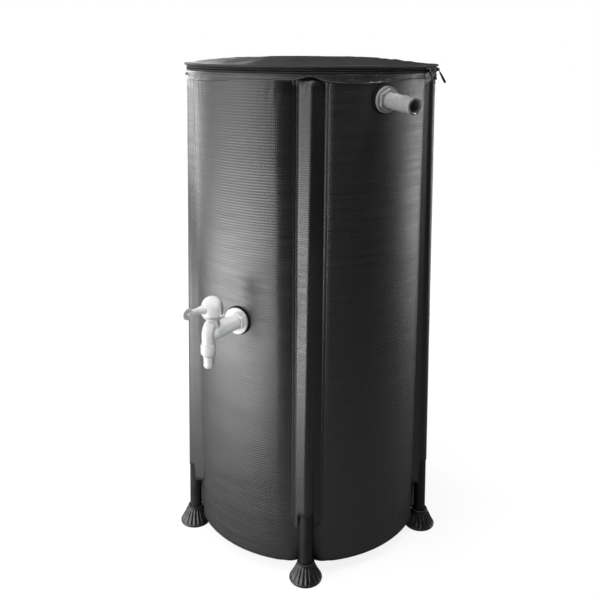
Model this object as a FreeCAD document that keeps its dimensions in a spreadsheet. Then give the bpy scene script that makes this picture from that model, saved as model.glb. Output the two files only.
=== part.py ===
"""Collapsible rain barrel.

A round tank of coated fabric hangs on five support poles that stand in sleeves welded to
its wall. Each pole stands in a ribbed rubber foot. A zip joins the lid to the rim. A ball
tap sits low on one panel, and an overflow tail sits under the rim on the next panel.

Millimetres. +Z is up, the origin is on the tank's axis at floor level, and the tap points
along -Y. Angles round the tank are counted from the tap, towards +X.
"""

import FreeCAD, Part

import math
import os

import Sketcher
from FreeCAD import Placement, Rotation, Vector

POLES = 5
FLOOR_UP = Vector(0, 0, 1)

# Driving sizes: alias, value, what it is
SIZES = [
    ("wall_bottom_radius", 200, "outside radius of the wall at the tank floor"),
    ("wall_top_radius", 192, "outside radius of the wall under the rim"),
    ("fabric", 1, "thickness of the coated fabric"),
    ("tank_floor_height", 20, "tank floor above the ground"),
    ("wall_top_height", 777, "top edge of the wall"),
    ("rim_height", 3, "height of the round stretch under the wall's top edge"),
    ("roof_height", 6, "height over which the wall closes above a groove"),
    ("groove_half_width", 48, "half width of the groove behind a pole"),
    ("first_pole_angle", 32, "angle from the tap to the first pole"),
    ("pole_diameter", 20, "outside diameter of a pole"),
    ("pole_wall", 1.5, "wall of the pole tube"),
    ("pole_fit", 0.3, "play between a pole and what it touches"),
    ("pole_stand_off", 10, "how far the pole circle lies outside the wall at the ground"),
    ("pole_inset", 8.8, "how far the pole circle lies inside the wall where the grooves end"),
    ("pole_seat_height", 9, "underside of the pole inside its foot"),
    ("sleeve_half_width", 18, "half width of a sleeve at its weld"),
    ("sleeve_start_height", 86, "lower end of a sleeve"),
    ("sleeve_notch_height", 118, "top of the notch in a sleeve"),
    ("sleeve_notch_half_width", 12, "half width of the notch in a sleeve"),
    ("weld_half_width", 27, "half width of a sleeve with its weld strips"),
    ("weld_thickness", 0.8, "thickness of a weld strip"),
    ("foot_base_radius", 26, "radius of a foot at the ground"),
    ("foot_top_radius", 13.5, "radius of a foot at its collar"),
    ("foot_height", 31, "height of a foot"),
    ("foot_lip", 5, "height of the upright lip at the base of a foot"),
    ("foot_rib", 1.2, "how far a rib of the foot stands out"),
    ("foot_rib_width", 2, "width of a rib of the foot"),
    ("foot_ribs", 20, "number of ribs round a foot"),
    ("rim_band_height", 8.5, "height of the rim band"),
    ("rim_band_thickness", 1, "thickness of the doubled hem of the rim"),
    ("seam_play", 0.02, "play between the wall and what is stitched to its rim"),
    ("tape_thickness", 0.6, "thickness of a zip tape"),
    ("row_thickness", 2, "radial thickness of a row of zip coils"),
    ("row_height", 1.8, "height of a row of zip coils"),
    ("row_gap", 1, "gap between the two rows of coils"),
    ("zip_rise", 1.6, "height of the lower row above the wall's top edge"),
    ("lid_rise", 1.3, "height of the lid's edge above the upper row"),
    ("lid_edge_height", 2.5, "height of the lid's turned-down edge"),
    ("lid_dome", 11, "rise of the lid from its edge to its middle"),
    ("binding_height", 4, "height of the rolled binding of the lid"),
    ("binding_thickness", 3.5, "radial thickness of the rolled binding"),
    ("strainer_radius", 62, "radius of the strainer window"),
    ("strainer_hem", 8, "overlap of the strainer mesh under the lid"),
    ("strainer_pitch", 12, "pitch of the strainer's gaps"),
    ("strainer_gap", 9, "width of a gap in the strainer"),
    ("strainer_ring_height", 1.5, "height of the binding round the window"),
    ("slider_length", 12, "length of a zip slider along the rim"),
    ("slider_plate", 1.3, "thickness of a slider's plates"),
    ("slider_lip", 0.8, "thickness of a slider's lips"),
    ("slider_play", 0.25, "play between a slider and the zip"),
    ("slider_post", 0.5, "thickness of the slider's post between the rows"),
    ("slider_a_angle", 111, "angle of the first slider"),
    ("slider_b_angle", 92, "angle of the second slider"),
    ("bridge_width", 2.4, "width of the bridge that holds a pull"),
    ("bridge_height", 4.4, "height of the bridge"),
    ("bridge_reach", 3, "how far the bridge stands off the slider"),
    ("pull_pin_radius", 0.6, "radius of the pin of a pull"),
    ("pull_pin_play", 0.08, "play of the pin in the bridge"),
    ("pull_width", 5.2, "width of a pull"),
    ("pull_thickness", 1.2, "thickness of a pull"),
    ("pull_a_length", 22, "length of the first pull"),
    ("pull_b_length", 13, "length of the second pull"),
    ("pull_a_lean", 30, "lean of the first pull from the upright"),
    ("pull_b_lean", 28, "lean of the second pull from the upright"),
    ("tap_height", 422, "height of the tap's axis"),
    ("tap_shank_radius", 10, "radius of the tap's threaded shank"),
    ("tap_shank_length", 14, "length of the tap's shank inside the tank"),
    ("tap_flange_radius", 20, "radius of the tap's flange"),
    ("tap_flange_thickness", 3.5, "thickness of the tap's flange"),
    ("tap_hex_radius", 15, "corner radius of the tap's hexagon"),
    ("tap_hex_length", 5, "length of the tap's hexagon"),
    ("tap_barrel_radius", 12, "radius of the tap's barrel"),
    ("tap_reach", 57.5, "distance from the wall to the valve's axis"),
    ("tap_neck_radius", 9.5, "radius of the tap's neck"),
    ("tap_neck_height", 23, "height of the neck's top above the tap's axis"),
    ("tap_bore_radius", 7, "radius of the inlet bore"),
    ("spout_bend_radius", 18, "bend radius of the spout"),
    ("spout_bend_angle", 50, "angle of the spout's bend"),
    ("spout_reach", 11.5, "distance from the valve's axis to the spout's axis"),
    ("spout_bend_drop", 2, "height of the bend's end below the tap's axis"),
    ("spout_radius", 9, "radius of the spout"),
    ("spout_bore_radius", 5.5, "radius of the spout's bore"),
    ("spout_end_drop", 25.5, "lower end of the spout below the tap's axis"),
    ("ball_radius", 8.8, "radius of the valve ball"),
    ("ball_play", 0.1, "play round the valve ball"),
    ("ball_bore_radius", 5.5, "radius of the bore through the valve ball"),
    ("stem_radius", 3, "radius of the valve stem"),
    ("stem_play", 0.08, "play round the valve stem"),
    ("stem_length", 38, "top of the stem above the tap's axis"),
    ("seat_length", 2.6, "length of a ball seat"),
    ("seal_radius", 0.9, "section radius of the stem's seal ring"),
    ("seal_height", 15, "height of the seal ring above the tap's axis"),
    ("collar_radius", 13.6, "radius of the retaining ring"),
    ("collar_height", 3.6, "height of the retaining ring"),
    ("dome_radius", 15.7, "radius of the domed handle"),
    ("dome_side", 11.2, "height of the straight side of the dome"),
    ("dome_wall", 2.4, "wall of the dome"),
    ("dome_play", 0.3, "gap between the dome and the retaining ring"),
    ("lever_angle", 15, "turn of the lever from the tap's axis"),
    ("lever_length", 42, "distance from the stem to the lever's eye"),
    ("lever_drop", 0.6, "height of the lever's axis below the dome's centre"),
    ("lever_root_radius", 7.5, "radius of the lever at the dome"),
    ("lever_neck_radius", 4.6, "radius of the lever's neck"),
    ("eye_radius", 8.4, "radius of the lever's eye"),
    ("eye_thickness", 7, "thickness of the lever's eye"),
    ("eye_hole_radius", 2.2, "radius of the hole in the eye"),
    ("gasket_thickness", 2.5, "thickness of a gasket"),
    ("gasket_margin", 1.8, "how far a gasket shows round its flange"),
    ("hole_play", 0.4, "play of a shank in the wall"),
    ("lock_nut_height", 7, "height of a lock nut"),
    ("tap_lock_nut_radius", 17.5, "corner radius of the tap's lock nut"),
    ("thread_play", 0.1, "play in a thread"),
    ("union_nut_radius", 11, "radius of the union nut"),
    ("union_nut_height", 15, "height of the union nut"),
    ("union_nut_top_drop", 14.5, "top of the union nut below the tap's axis"),
    ("union_thread_radius", 9.4, "radius of the thread at the spout's end"),
    ("union_lip", 2, "thickness of the union nut's lip"),
    ("union_flutes", 18, "number of flutes round the union nut"),
    ("flute_radius", 0.9, "radius of a flute"),
    ("washer_thickness", 1.1, "thickness of the washer in the union nut"),
    ("tail_flange_thickness", 0.9, "thickness of the hose tail's flange"),
    ("tail_neck_radius", 6.8, "radius of the hose tail's neck"),
    ("tail_radius", 7.5, "radius of the hose tail"),
    ("tail_ridge_radius", 8.2, "radius of the hose tail's ridges"),
    ("tail_bore_radius", 5, "radius of the hose tail's bore"),
    ("tail_end_drop", 50, "lower end of the hose tail below the tap's axis"),
    ("tail_ridge_height", 4, "height of a ridge of the hose tail"),
    ("overflow_angle", 64, "angle from the tap to the overflow"),
    ("overflow_drop", 32.5, "drop of the overflow below the wall's top edge"),
    ("overflow_droop", 5, "droop of the overflow's axis"),
    ("overflow_shank_radius", 12, "radius of the overflow's threaded shank"),
    ("overflow_shank_length", 14, "length of the overflow's shank inside the tank"),
    ("overflow_flange_radius", 18, "radius of the overflow's flange"),
    ("overflow_flange_thickness", 4, "thickness of the overflow's flange"),
    ("overflow_hex_radius", 15.6, "corner radius of the overflow's hexagon"),
    ("overflow_hex_length", 4.5, "length of the overflow's hexagon"),
    ("overflow_neck_radius", 10, "radius of the overflow's neck"),
    ("overflow_neck_length", 11, "length of the overflow's neck"),
    ("overflow_tail_radius", 10.8, "radius of the overflow's tail"),
    ("overflow_tail_length", 43, "length of the overflow's tail"),
    ("overflow_ridge_radius", 11.5, "radius of the overflow's ridges"),
    ("overflow_ridge_length", 4, "length of a ridge of the overflow"),
    ("overflow_ridge_gap", 17, "straight stretch between two ridges"),
    ("overflow_bore_radius", 8.3, "radius of the overflow's bore"),
    ("overflow_gasket_thickness", 3.5, "thickness of the overflow's outer gasket"),
    ("overflow_lock_nut_radius", 19, "corner radius of the overflow's lock nut"),
]


class Length:
    """A number together with the spreadsheet expression that it comes from."""

    def __init__(self, number, text):
        self.number = number
        self.text = text

    def __float__(self):
        return float(self.number)

    def __add__(self, other):
        return combine(self, "+", other)

    def __radd__(self, other):
        return combine(other, "+", self)

    def __sub__(self, other):
        return combine(self, "-", other)

    def __rsub__(self, other):
        return combine(other, "-", self)

    def __mul__(self, other):
        return combine(self, "*", other)

    def __rmul__(self, other):
        return combine(other, "*", self)

    def __truediv__(self, other):
        return combine(self, "/", other)

    def __neg__(self):
        return combine(0, "-", self)


def length(value):
    """Return a plain number as a Length, and a Length as it is."""
    if isinstance(value, Length):
        return value
    return Length(float(value), repr(float(value)))


def combine(left, sign, right):
    """Join two lengths with a sign, both as numbers and as an expression."""
    left = length(left)
    right = length(right)
    number = {
        "+": left.number + right.number,
        "-": left.number - right.number,
        "*": left.number * right.number,
        "/": left.number / right.number if sign == "/" else 0.0,
    }[sign]
    return Length(number, "(" + left.text + " " + sign + " " + right.text + ")")


doc = FreeCAD.newDocument("RainBarrel")
sheet = doc.addObject("Spreadsheet::Sheet", "Sizes")
for row, (alias, value, meaning) in enumerate(SIZES, start=1):
    sheet.set("A%d" % row, meaning)
    sheet.set("B%d" % row, str(value))
    sheet.setAlias("B%d" % row, alias)
doc.recompute()


class Sizes:
    """The spreadsheet's cells as lengths, each under its alias."""


size = Sizes()
for alias, value, meaning in SIZES:
    setattr(size, alias, Length(float(sheet.get(alias)), "Sizes." + alias))
size.rim_start_height = size.wall_top_height - size.rim_height
size.groove_end_height = size.rim_start_height - size.roof_height
size.overflow_height = size.wall_top_height - size.overflow_drop
size.pole_circle_floor = size.wall_bottom_radius + size.pole_stand_off
size.pole_circle_top = size.wall_top_radius - size.pole_inset

nodes = {}


def keep(name, feature):
    """Keep a feature as the node of that name."""
    feature.Label = name
    nodes[name] = feature
    return feature


def bind(feature, values):
    """Bind properties of a feature to expressions."""
    for name, value in values.items():
        feature.setExpression(name, length(value).text)
    return feature


def turn_to_x(feature, x, z):
    """Lay a primitive that stands along Z along X, starting at x."""
    feature.Placement = Placement(Vector(0, 0, 0), Rotation(Vector(0, 1, 0), 90))
    bind(feature, {"Placement.Base.x": x, "Placement.Base.z": z})
    return feature


def stand_at(feature, x, z):
    """Stand a primitive along Z at x, starting at z."""
    bind(feature, {"Placement.Base.x": x, "Placement.Base.z": z})
    return feature


def cylinder(name, radius, height):
    feature = doc.addObject("Part::Cylinder", name)
    return bind(feature, {"Radius": radius, "Height": height})


def cone(name, start_radius, end_radius, height):
    feature = doc.addObject("Part::Cone", name)
    return bind(feature, {"Radius1": start_radius, "Radius2": end_radius, "Height": height})


def ball(name, radius):
    feature = doc.addObject("Part::Sphere", name)
    return bind(feature, {"Radius": radius})


def hexagon(name, corner_radius, height):
    feature = doc.addObject("Part::Prism", name)
    feature.Polygon = 6
    return bind(feature, {"Circumradius": corner_radius, "Height": height})


def block(name, long, wide, high):
    feature = doc.addObject("Part::Box", name)
    return bind(feature, {"Length": long, "Width": wide, "Height": high})


def fuse(name, features):
    feature = doc.addObject("Part::MultiFuse", name)
    feature.Shapes = features
    feature.Refine = True
    return feature


def cut(name, base, tools):
    feature = doc.addObject("Part::Cut", name)
    feature.Base = base
    feature.Tool = tools[0] if len(tools) == 1 else fuse(name + "Tools", tools)
    return feature


def common(name, first, second):
    feature = doc.addObject("Part::Common", name)
    feature.Base = first
    feature.Tool = second
    return feature


def shaped(name, shape):
    """Return a Part::Feature that holds a shape."""
    feature = doc.addObject("Part::Feature", name)
    feature.Shape = shape
    return feature


def sketch_on(body, name, role, points):
    """Draw a closed outline, each corner held by expressions, on a plane of a body."""
    sketch = body.newObject("Sketcher::SketchObject", name)
    planes = [plane for plane in body.Origin.OriginFeatures if plane.Role == role]
    sketch.AttachmentSupport = [(planes[0], "")]
    sketch.MapMode = "FlatFace"
    corners = [Vector(float(x), float(y), 0) for x, y in points]
    count = len(corners)
    for index in range(count):
        line = Part.LineSegment(corners[index], corners[(index + 1) % count])
        sketch.addGeometry(line, False)
    for index in range(count):
        link = Sketcher.Constraint("Coincident", index, 2, (index + 1) % count, 1)
        sketch.addConstraint(link)
    for index, (x, y) in enumerate(points):
        for kind, value in (("DistanceX", x), ("DistanceY", y)):
            value = length(value)
            rule = Sketcher.Constraint(kind, -1, 1, index, 1, value.number)
            number = sketch.addConstraint(rule)
            sketch.setExpression("Constraints[%d]" % number, value.text)
    return sketch


def revolved(name, points, angle=360, role="XZ_Plane"):
    """Turn an outline of (radius, height) corners about the Z axis, as a body."""
    body = doc.addObject("PartDesign::Body", name)
    sketch = sketch_on(body, name + "Outline", role, points)
    feature = body.newObject("PartDesign::Revolution", name + "Revolution")
    feature.Profile = sketch
    feature.ReferenceAxis = (sketch, ["V_Axis"])
    feature.Angle = angle
    feature.Midplane = angle != 360
    body.Tip = feature
    return body


def ring(name, inner, outer, low, high):
    """Return a plain ring about the Z axis, as a body."""
    return revolved(name, [(inner, low), (outer, low), (outer, high), (inner, high)])


def outward(angle):
    """Return the level direction away from the axis at an angle from the tap."""
    turn = math.radians(float(angle))
    return Vector(math.sin(turn), -math.cos(turn), 0)


def facing(angle):
    """Return the turn that lays +X along the outward direction."""
    return Rotation(FLOOR_UP, float(angle) - 90)


def wall_at(height):
    """Return the wall's outside radius between two grooves at a height."""
    share = (height - size.tank_floor_height) / (size.groove_end_height - size.tank_floor_height)
    return size.wall_bottom_radius + (size.wall_top_radius - size.wall_bottom_radius) * share


def pole_at(height):
    """Return the radius of the pole circle at a height."""
    fall = size.pole_circle_top - size.pole_circle_floor
    return size.pole_circle_floor + fall * height / size.groove_end_height


def pole_angle(index):
    return float(size.first_pole_angle) + index * 360 / POLES


def foot_outline(inset):
    """Return the corners of a foot's outline, flared from its collar to its base."""
    base = size.foot_base_radius - inset
    top = size.foot_top_radius - inset
    collar = size.foot_height - size.foot_lip
    return [
        (0, 0),
        (size.foot_base_radius, 0),
        (size.foot_base_radius, size.foot_lip * 0.7),
        (base, size.foot_lip * 0.86),
        (base - (base - top) * 0.14, size.foot_lip * 1.6),
        (base - (base - top) * 0.55, collar * 0.62),
        (top + (base - top) * 0.08, collar),
        (top, size.foot_height),
        (0, size.foot_height),
    ]


def foot_radius_at(height):
    """Return the radius of a foot over its ribs at a height."""
    corners = [(float(radius), float(level)) for radius, level in foot_outline(0)]
    for (radius, level), (next_radius, next_level) in zip(corners, corners[1:]):
        if level <= height <= next_level and next_level > level:
            share = (height - level) / (next_level - level)
            return radius + (next_radius - radius) * share
    return float(size.foot_top_radius)


# The wall's sections: round, with a smooth groove behind each pole.

GROOVE_STEPS = 8


def section(height, radius, depth):
    """Return the wall's closed outline at a height."""
    half = float(size.groove_half_width)
    edges = []
    for index in range(POLES):
        middle = pole_angle(index)
        points = []
        for step in range(GROOVE_STEPS + 1):
            across = half * (2 * step / GROOVE_STEPS - 1)
            dip = depth * (1 + math.cos(math.pi * across / half)) / 2
            angle = middle + math.degrees(across / radius)
            points.append(outward(angle) * (radius - dip) + Vector(0, 0, height))
        first = middle - math.degrees(half / radius)
        last = middle + math.degrees(half / radius)
        groove = Part.BSplineCurve()
        groove.interpolate(points, InitialTangent=outward(first + 90),
                           FinalTangent=outward(last + 90))
        edges.append(groove.toShape())
        next_first = first + 360 / POLES
        halfway = outward((last + next_first) / 2) * radius + Vector(0, 0, height)
        ending = outward(next_first) * radius + Vector(0, 0, height)
        edges.append(Part.Arc(points[-1], halfway, ending).toShape())
    return Part.Wire(edges)


def groove_depth(height, held_radius):
    """Return the depth of a groove that clears what stands in it at a height."""
    touch = held_radius + float(size.pole_fit)
    return float(wall_at(height)) - (float(pole_at(height)) - touch)


def envelope(offset):
    """Return the solid inside the wall's outer surface, moved outward by offset."""
    low = float(size.tank_floor_height)
    foot_top = float(size.foot_height)
    sleeve_low = float(size.sleeve_start_height)
    groove_end = float(size.groove_end_height)
    pole_radius = float(size.pole_diameter) / 2
    rows = [
        (low, groove_depth(low, foot_radius_at(low))),
        (foot_top, groove_depth(foot_top, float(size.foot_top_radius))),
        (sleeve_low, groove_depth(sleeve_low, pole_radius)),
        (groove_end, groove_depth(groove_end, pole_radius)),
        (float(size.rim_start_height), 0.0),
        (float(size.wall_top_height), 0.0),
    ]
    wires = []
    for height, depth in rows:
        radius = float(wall_at(min(height, groove_end))) + offset
        wires.append(section(height, radius, depth))
    return Part.makeLoft(wires, True, True)


outside = shaped("WallOutside", envelope(0.0))
inside = shaped("WallInside", envelope(-float(size.fabric)))


# Tank

def tap_frame():
    """Return the place of the tap: +X outward from the wall, +Z up."""
    base = outward(0) * float(wall_at(size.tap_height))
    return Placement(base + Vector(0, 0, float(size.tap_height)), facing(0))


def overflow_frame():
    """Return the place of the overflow, which droops with the soft wall."""
    base = outward(size.overflow_angle) * float(wall_at(size.overflow_height))
    droop = Rotation(Vector(0, 1, 0), float(size.overflow_droop))
    turn = facing(size.overflow_angle).multiply(droop)
    return Placement(base + Vector(0, 0, float(size.overflow_height)), turn)


def wall_hole(name, radius, frame):
    """Return the cutter for a shank's hole through the wall."""
    reach = size.gasket_thickness * 4
    drill = cylinder(name, radius + size.hole_play, reach * 2)
    along_x = Placement(Vector(-float(reach), 0, 0), Rotation(Vector(0, 1, 0), 90))
    drill.Placement = frame.multiply(along_x)
    return drill


def build_tank():
    shell = cut("WallShell", outside, [inside])
    holes = [
        wall_hole("TapHole", size.tap_shank_radius, tap_frame()),
        wall_hole("OverflowHole", size.overflow_shank_radius, overflow_frame()),
    ]
    wall = cut("TankWall", shell, holes)
    for index in range(POLES):
        name = "WallPanel%d" % (index + 1)
        sector = cylinder(name + "Sector", size.wall_bottom_radius * 2, size.wall_top_height)
        sector.Angle = 360 / POLES
        sector.Placement = Placement(Vector(0, 0, 0), facing(pole_angle(index - 1)))
        keep("wall_panel_%d" % (index + 1), common(name, wall, sector))
    slab = cylinder("FloorSlab", size.wall_bottom_radius, size.fabric)
    stand_at(slab, 0, size.tank_floor_height)
    keep("tank_floor", common("TankFloor", slab, inside))
    top = size.wall_top_radius
    keep("rim_band", ring("RimBand", top + size.seam_play, top + size.rim_band_thickness,
                          size.wall_top_height - size.rim_band_height, size.wall_top_height))


# Poles, feet and sleeves

def lean():
    """Return the lean of a pole from the upright, in degrees."""
    fall = float(size.pole_circle_floor - size.pole_circle_top)
    return math.degrees(math.atan2(fall, float(size.groove_end_height)))


def pole_frame(index):
    """Return the place of a pole: +Z up along the pole, +X outward, origin at the ground."""
    angle = pole_angle(index)
    base = outward(angle) * float(size.pole_circle_floor)
    turn = facing(angle).multiply(Rotation(Vector(0, 1, 0), -lean()))
    return Placement(base, turn)


def along_pole(height):
    """Return the distance along a pole that reaches a height."""
    return height / math.cos(math.radians(lean()))


def build_pole(index):
    name = "Pole%d" % (index + 1)
    start = along_pole(size.pole_seat_height)
    top = along_pole(size.groove_end_height) - size.fabric - size.pole_fit
    outer = stand_at(cylinder(name + "Outer", size.pole_diameter / 2, top - start), 0, start)
    bore = cylinder(name + "Bore", size.pole_diameter / 2 - size.pole_wall, top - start)
    stand_at(bore, 0, start)
    tube = cut(name, outer, [bore])
    tube.Placement = pole_frame(index)
    keep("pole_%d" % (index + 1), tube)


def tent(half_width, crest_radius, drop, low, high):
    """Return a prism along the pole whose section is a tent over the pole."""
    reach = math.hypot(half_width, drop)
    edge = math.atan2(-drop, half_width)
    touch = edge + math.acos(crest_radius / reach)
    side = Vector(0, half_width, low) + Vector(-drop, 0, 0)
    right = Vector(crest_radius * math.sin(touch), crest_radius * math.cos(touch), low)
    left = Vector(right.x, -right.y, low)
    other = Vector(side.x, -side.y, low)
    crest = Vector(crest_radius, 0, low)
    wire = Part.Wire([
        Part.LineSegment(side, right).toShape(),
        Part.Arc(right, crest, left).toShape(),
        Part.LineSegment(left, other).toShape(),
        Part.LineSegment(other, side).toShape(),
    ])
    return Part.Face(wire).extrude(Vector(0, 0, high - low))


def sleeve_shape(index, weld_skin):
    """Return the sleeve of a pole, seated on the wall."""
    fabric = float(size.fabric)
    low = float(along_pole(size.sleeve_start_height))
    high = float(along_pole(size.groove_end_height))
    hole_radius = float(size.pole_diameter / 2 + size.pole_fit)
    half = float(size.sleeve_half_width)
    drop = hole_radius + float(size.pole_fit)
    outer = tent(half, hole_radius + fabric, drop, low, high)
    tunnel = tent(half - 2 * fabric, hole_radius, drop, low - 1, high - fabric)
    weld_half = float(size.weld_half_width)
    strip = Part.makeBox(4 * hole_radius, 2 * weld_half, high - low,
                         Vector(-2 * hole_radius, -weld_half, low))
    notch_half = float(size.sleeve_notch_half_width)
    notch_high = float(along_pole(size.sleeve_notch_height))
    notch = Part.makeBox(4 * hole_radius, 2 * notch_half, notch_high - low + 1,
                         Vector(-2 * hole_radius, -notch_half, low - 1))
    frame = pole_frame(index)
    for solid in (outer, tunnel, strip, notch):
        solid.Placement = frame
    weld = weld_skin.common(strip)
    return outer.fuse(weld).cut(tunnel).cut(notch).cut(outside.Shape)


def build_sleeves():
    weld_skin = envelope(float(size.weld_thickness))
    for index in range(POLES):
        solid = sleeve_shape(index, weld_skin)
        keep("sleeve_%d" % (index + 1), shaped("Sleeve%d" % (index + 1), solid))


def build_foot(index):
    name = "Foot%d" % (index + 1)
    body = revolved(name + "Bell", foot_outline(size.foot_rib))
    rib_sketch = sketch_on(body, name + "RibOutline", "XZ_Plane", foot_outline(0))
    rib = body.newObject("PartDesign::Pad", name + "Rib")
    rib.Profile = rib_sketch
    rib.Midplane = True
    bind(rib, {"Length": size.foot_rib_width})
    pattern = body.newObject("PartDesign::PolarPattern", name + "Ribs")
    pattern.Originals = [rib]
    pattern.Axis = (rib_sketch, ["V_Axis"])
    pattern.Angle = 360
    bind(pattern, {"Occurrences": size.foot_ribs})
    body.Tip = pattern
    angle = pole_angle(index)
    body.Placement = Placement(outward(angle) * float(size.pole_circle_floor), facing(angle))
    socket = cylinder(name + "Socket", size.pole_diameter / 2, size.foot_height * 2)
    socket.Placement = pole_frame(index)
    seat = pole_frame(index).multVec(Vector(0, 0, float(along_pole(size.pole_seat_height))))
    socket.Placement = Placement(seat, pole_frame(index).Rotation)
    keep("foot_%d" % (index + 1), cut(name, body, [socket]))


# Zip and lid

def zip_levels():
    """Return the levels of the zip: lower row, gap and upper row."""
    lower = size.wall_top_height + size.zip_rise
    gap = lower + size.row_height
    upper = gap + size.row_gap
    return lower, gap, upper, upper + size.row_height


def build_zip():
    lower, gap, upper, top = zip_levels()
    back = size.wall_top_radius - size.fabric
    tape = back - size.tape_thickness
    front = back + size.row_thickness
    keep("zip_tape_lower", ring("ZipTapeLower", tape, back - size.seam_play,
                                size.rim_start_height, gap))
    keep("zip_row_lower", ring("ZipRowLower", back, front, lower, gap))
    keep("zip_row_upper", ring("ZipRowUpper", back, front, upper, top))
    lid_edge = top + size.lid_rise
    tape_top = lid_edge + size.lid_edge_height - size.fabric
    keep("zip_tape_upper", ring("ZipTapeUpper", tape, back, upper, tape_top))


def cap(name, radius, height):
    """Return a ball whose top is a shallow cap of that radius, risen by the lid's dome."""
    curve = (radius * radius + size.lid_dome * size.lid_dome) / (2 * size.lid_dome)
    feature = ball(name, curve)
    bind(feature, {"Placement.Base.z": height + size.lid_dome - curve})
    return feature


def build_lid():
    lower, gap, upper, top = zip_levels()
    low = top + size.lid_rise
    high = low + size.lid_edge_height
    edge = size.wall_top_radius
    room = size.lid_dome * 2
    over = cap("LidOver", edge, high)
    under = cap("LidUnder", edge, high - size.fabric)
    mesh_under = cap("MeshUnder", edge, high - 2 * size.fabric)
    disc = stand_at(cylinder("LidDisc", edge, room), 0, high - size.fabric)
    skin = cut("LidSkin", common("LidCap", disc, over), [under])
    hem = ring("LidHem", edge - size.fabric, edge, low, high)
    window = stand_at(cylinder("LidWindow", size.strainer_radius, room * 2), 0, low)
    keep("lid_panel", cut("LidPanel", fuse("LidWhole", [skin, hem]), [window]))
    keep("lid_binding", binding(low))
    hem_radius = size.strainer_radius + size.strainer_hem
    mesh_disc = stand_at(cylinder("MeshDisc", hem_radius, room * 2), 0, low)
    mesh_cap = common("MeshCap", mesh_disc, under)
    keep("strainer_mesh", cut("StrainerMesh", mesh_cap, [mesh_under, mesh_gaps(low, room * 2)]))
    keep("strainer_ring", strainer_ring(over, high))


def binding(low):
    """Return the rolled binding along the lid's edge, with a rounded outer side."""
    inner = size.wall_top_radius
    outer = inner + size.binding_thickness
    high = low + size.binding_height
    soft = size.binding_thickness * 0.5
    return revolved("LidBinding", [
        (inner, low),
        (outer - soft, low),
        (outer - soft * 0.3, low + soft * 0.3),
        (outer, low + soft),
        (outer, high - soft),
        (outer - soft * 0.3, high - soft * 0.3),
        (outer - soft, high),
        (inner - size.fabric, high),
        (inner - size.fabric, low + size.lid_edge_height + size.fabric),
        (inner, low + size.lid_edge_height + size.fabric),
    ])


def mesh_gaps(low, high):
    """Return the cutter for the strainer's gaps, a square grid inside the window."""
    pitch = float(size.strainer_pitch)
    gap = float(size.strainer_gap)
    reach = float(size.strainer_radius)
    count = int(reach // pitch)
    gaps = []
    for column in range(-count, count + 1):
        for line in range(-count, count + 1):
            far = math.hypot(abs(column) * pitch + gap / 2, abs(line) * pitch + gap / 2)
            if far < reach:
                corner = Vector(column * pitch - gap / 2, line * pitch - gap / 2, float(low))
                gaps.append(Part.makeBox(gap, gap, float(high), corner))
    return shaped("MeshGaps", Part.makeCompound(gaps))


def strainer_ring(over, high):
    """Return the flat binding ring on the lid round the strainer window."""
    inner = size.strainer_radius
    outer = inner + size.strainer_hem
    flat_top = high + size.lid_dome + size.strainer_ring_height
    blank = ring("StrainerRingBlank", inner, outer, high, flat_top)
    return cut("StrainerRing", blank, [over])


# Zip sliders and pulls

def hinge_level():
    """Return the height of a pull's hinge."""
    lower, gap, upper, top = zip_levels()
    return gap + size.row_gap / 2


def hinge_radius():
    """Return the radius of a pull's hinge from the tank's axis."""
    front = size.wall_top_radius - size.fabric + size.row_thickness
    return front + size.slider_play + size.slider_plate + size.bridge_reach / 2


def slider_outline():
    """Return the slider's section: two plates, two lips and the post between the rows."""
    lower, gap, upper, top = zip_levels()
    play = size.slider_play
    tape_front = size.wall_top_radius - size.fabric
    rows_front = tape_front + size.row_thickness
    tape_back = tape_front - size.tape_thickness
    front = rows_front + play
    face = front + size.slider_plate
    lip = tape_front + play
    low = lower - play
    high = top + play
    post_low = hinge_level() - size.slider_post / 2
    post_high = hinge_level() + size.slider_post / 2
    back = tape_back - play
    rear = back - size.slider_plate
    return [
        (lip, low - size.slider_lip),
        (face, low - size.slider_lip),
        (face, high + size.slider_lip),
        (lip, high + size.slider_lip),
        (lip, high),
        (front, high),
        (front, post_high),
        (back, post_high),
        (back, high),
        (rear, high),
        (rear, low),
        (back, low),
        (back, post_low),
        (front, post_low),
        (front, low),
        (lip, low),
    ]


def build_slider(letter, angle):
    name = "Slider" + letter.upper()
    sweep = math.degrees(float(size.slider_length) / float(hinge_radius()))
    channel = revolved(name + "Channel", slider_outline(), sweep)
    reach = size.bridge_reach
    root = size.slider_plate / 2
    bridge = block(name + "Bridge", reach + root, size.bridge_width, size.bridge_height)
    bind(bridge, {
        "Placement.Base.x": hinge_radius() - reach / 2 - root,
        "Placement.Base.y": -size.bridge_width / 2,
        "Placement.Base.z": hinge_level() - size.bridge_height / 2,
    })
    eye = cylinder(name + "Eye", size.pull_pin_radius + size.pull_pin_play,
                   size.bridge_width * 2)
    eye.Placement = Placement(Vector(0, 0, 0), Rotation(Vector(1, 0, 0), -90))
    bind(eye, {
        "Placement.Base.x": hinge_radius(),
        "Placement.Base.y": -size.bridge_width,
        "Placement.Base.z": hinge_level(),
    })
    slider = cut(name, fuse(name + "Whole", [channel, bridge]), [eye])
    slider.Placement = Placement(Vector(0, 0, 0), facing(angle))
    keep("zip_slider_" + letter, slider)


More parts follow.
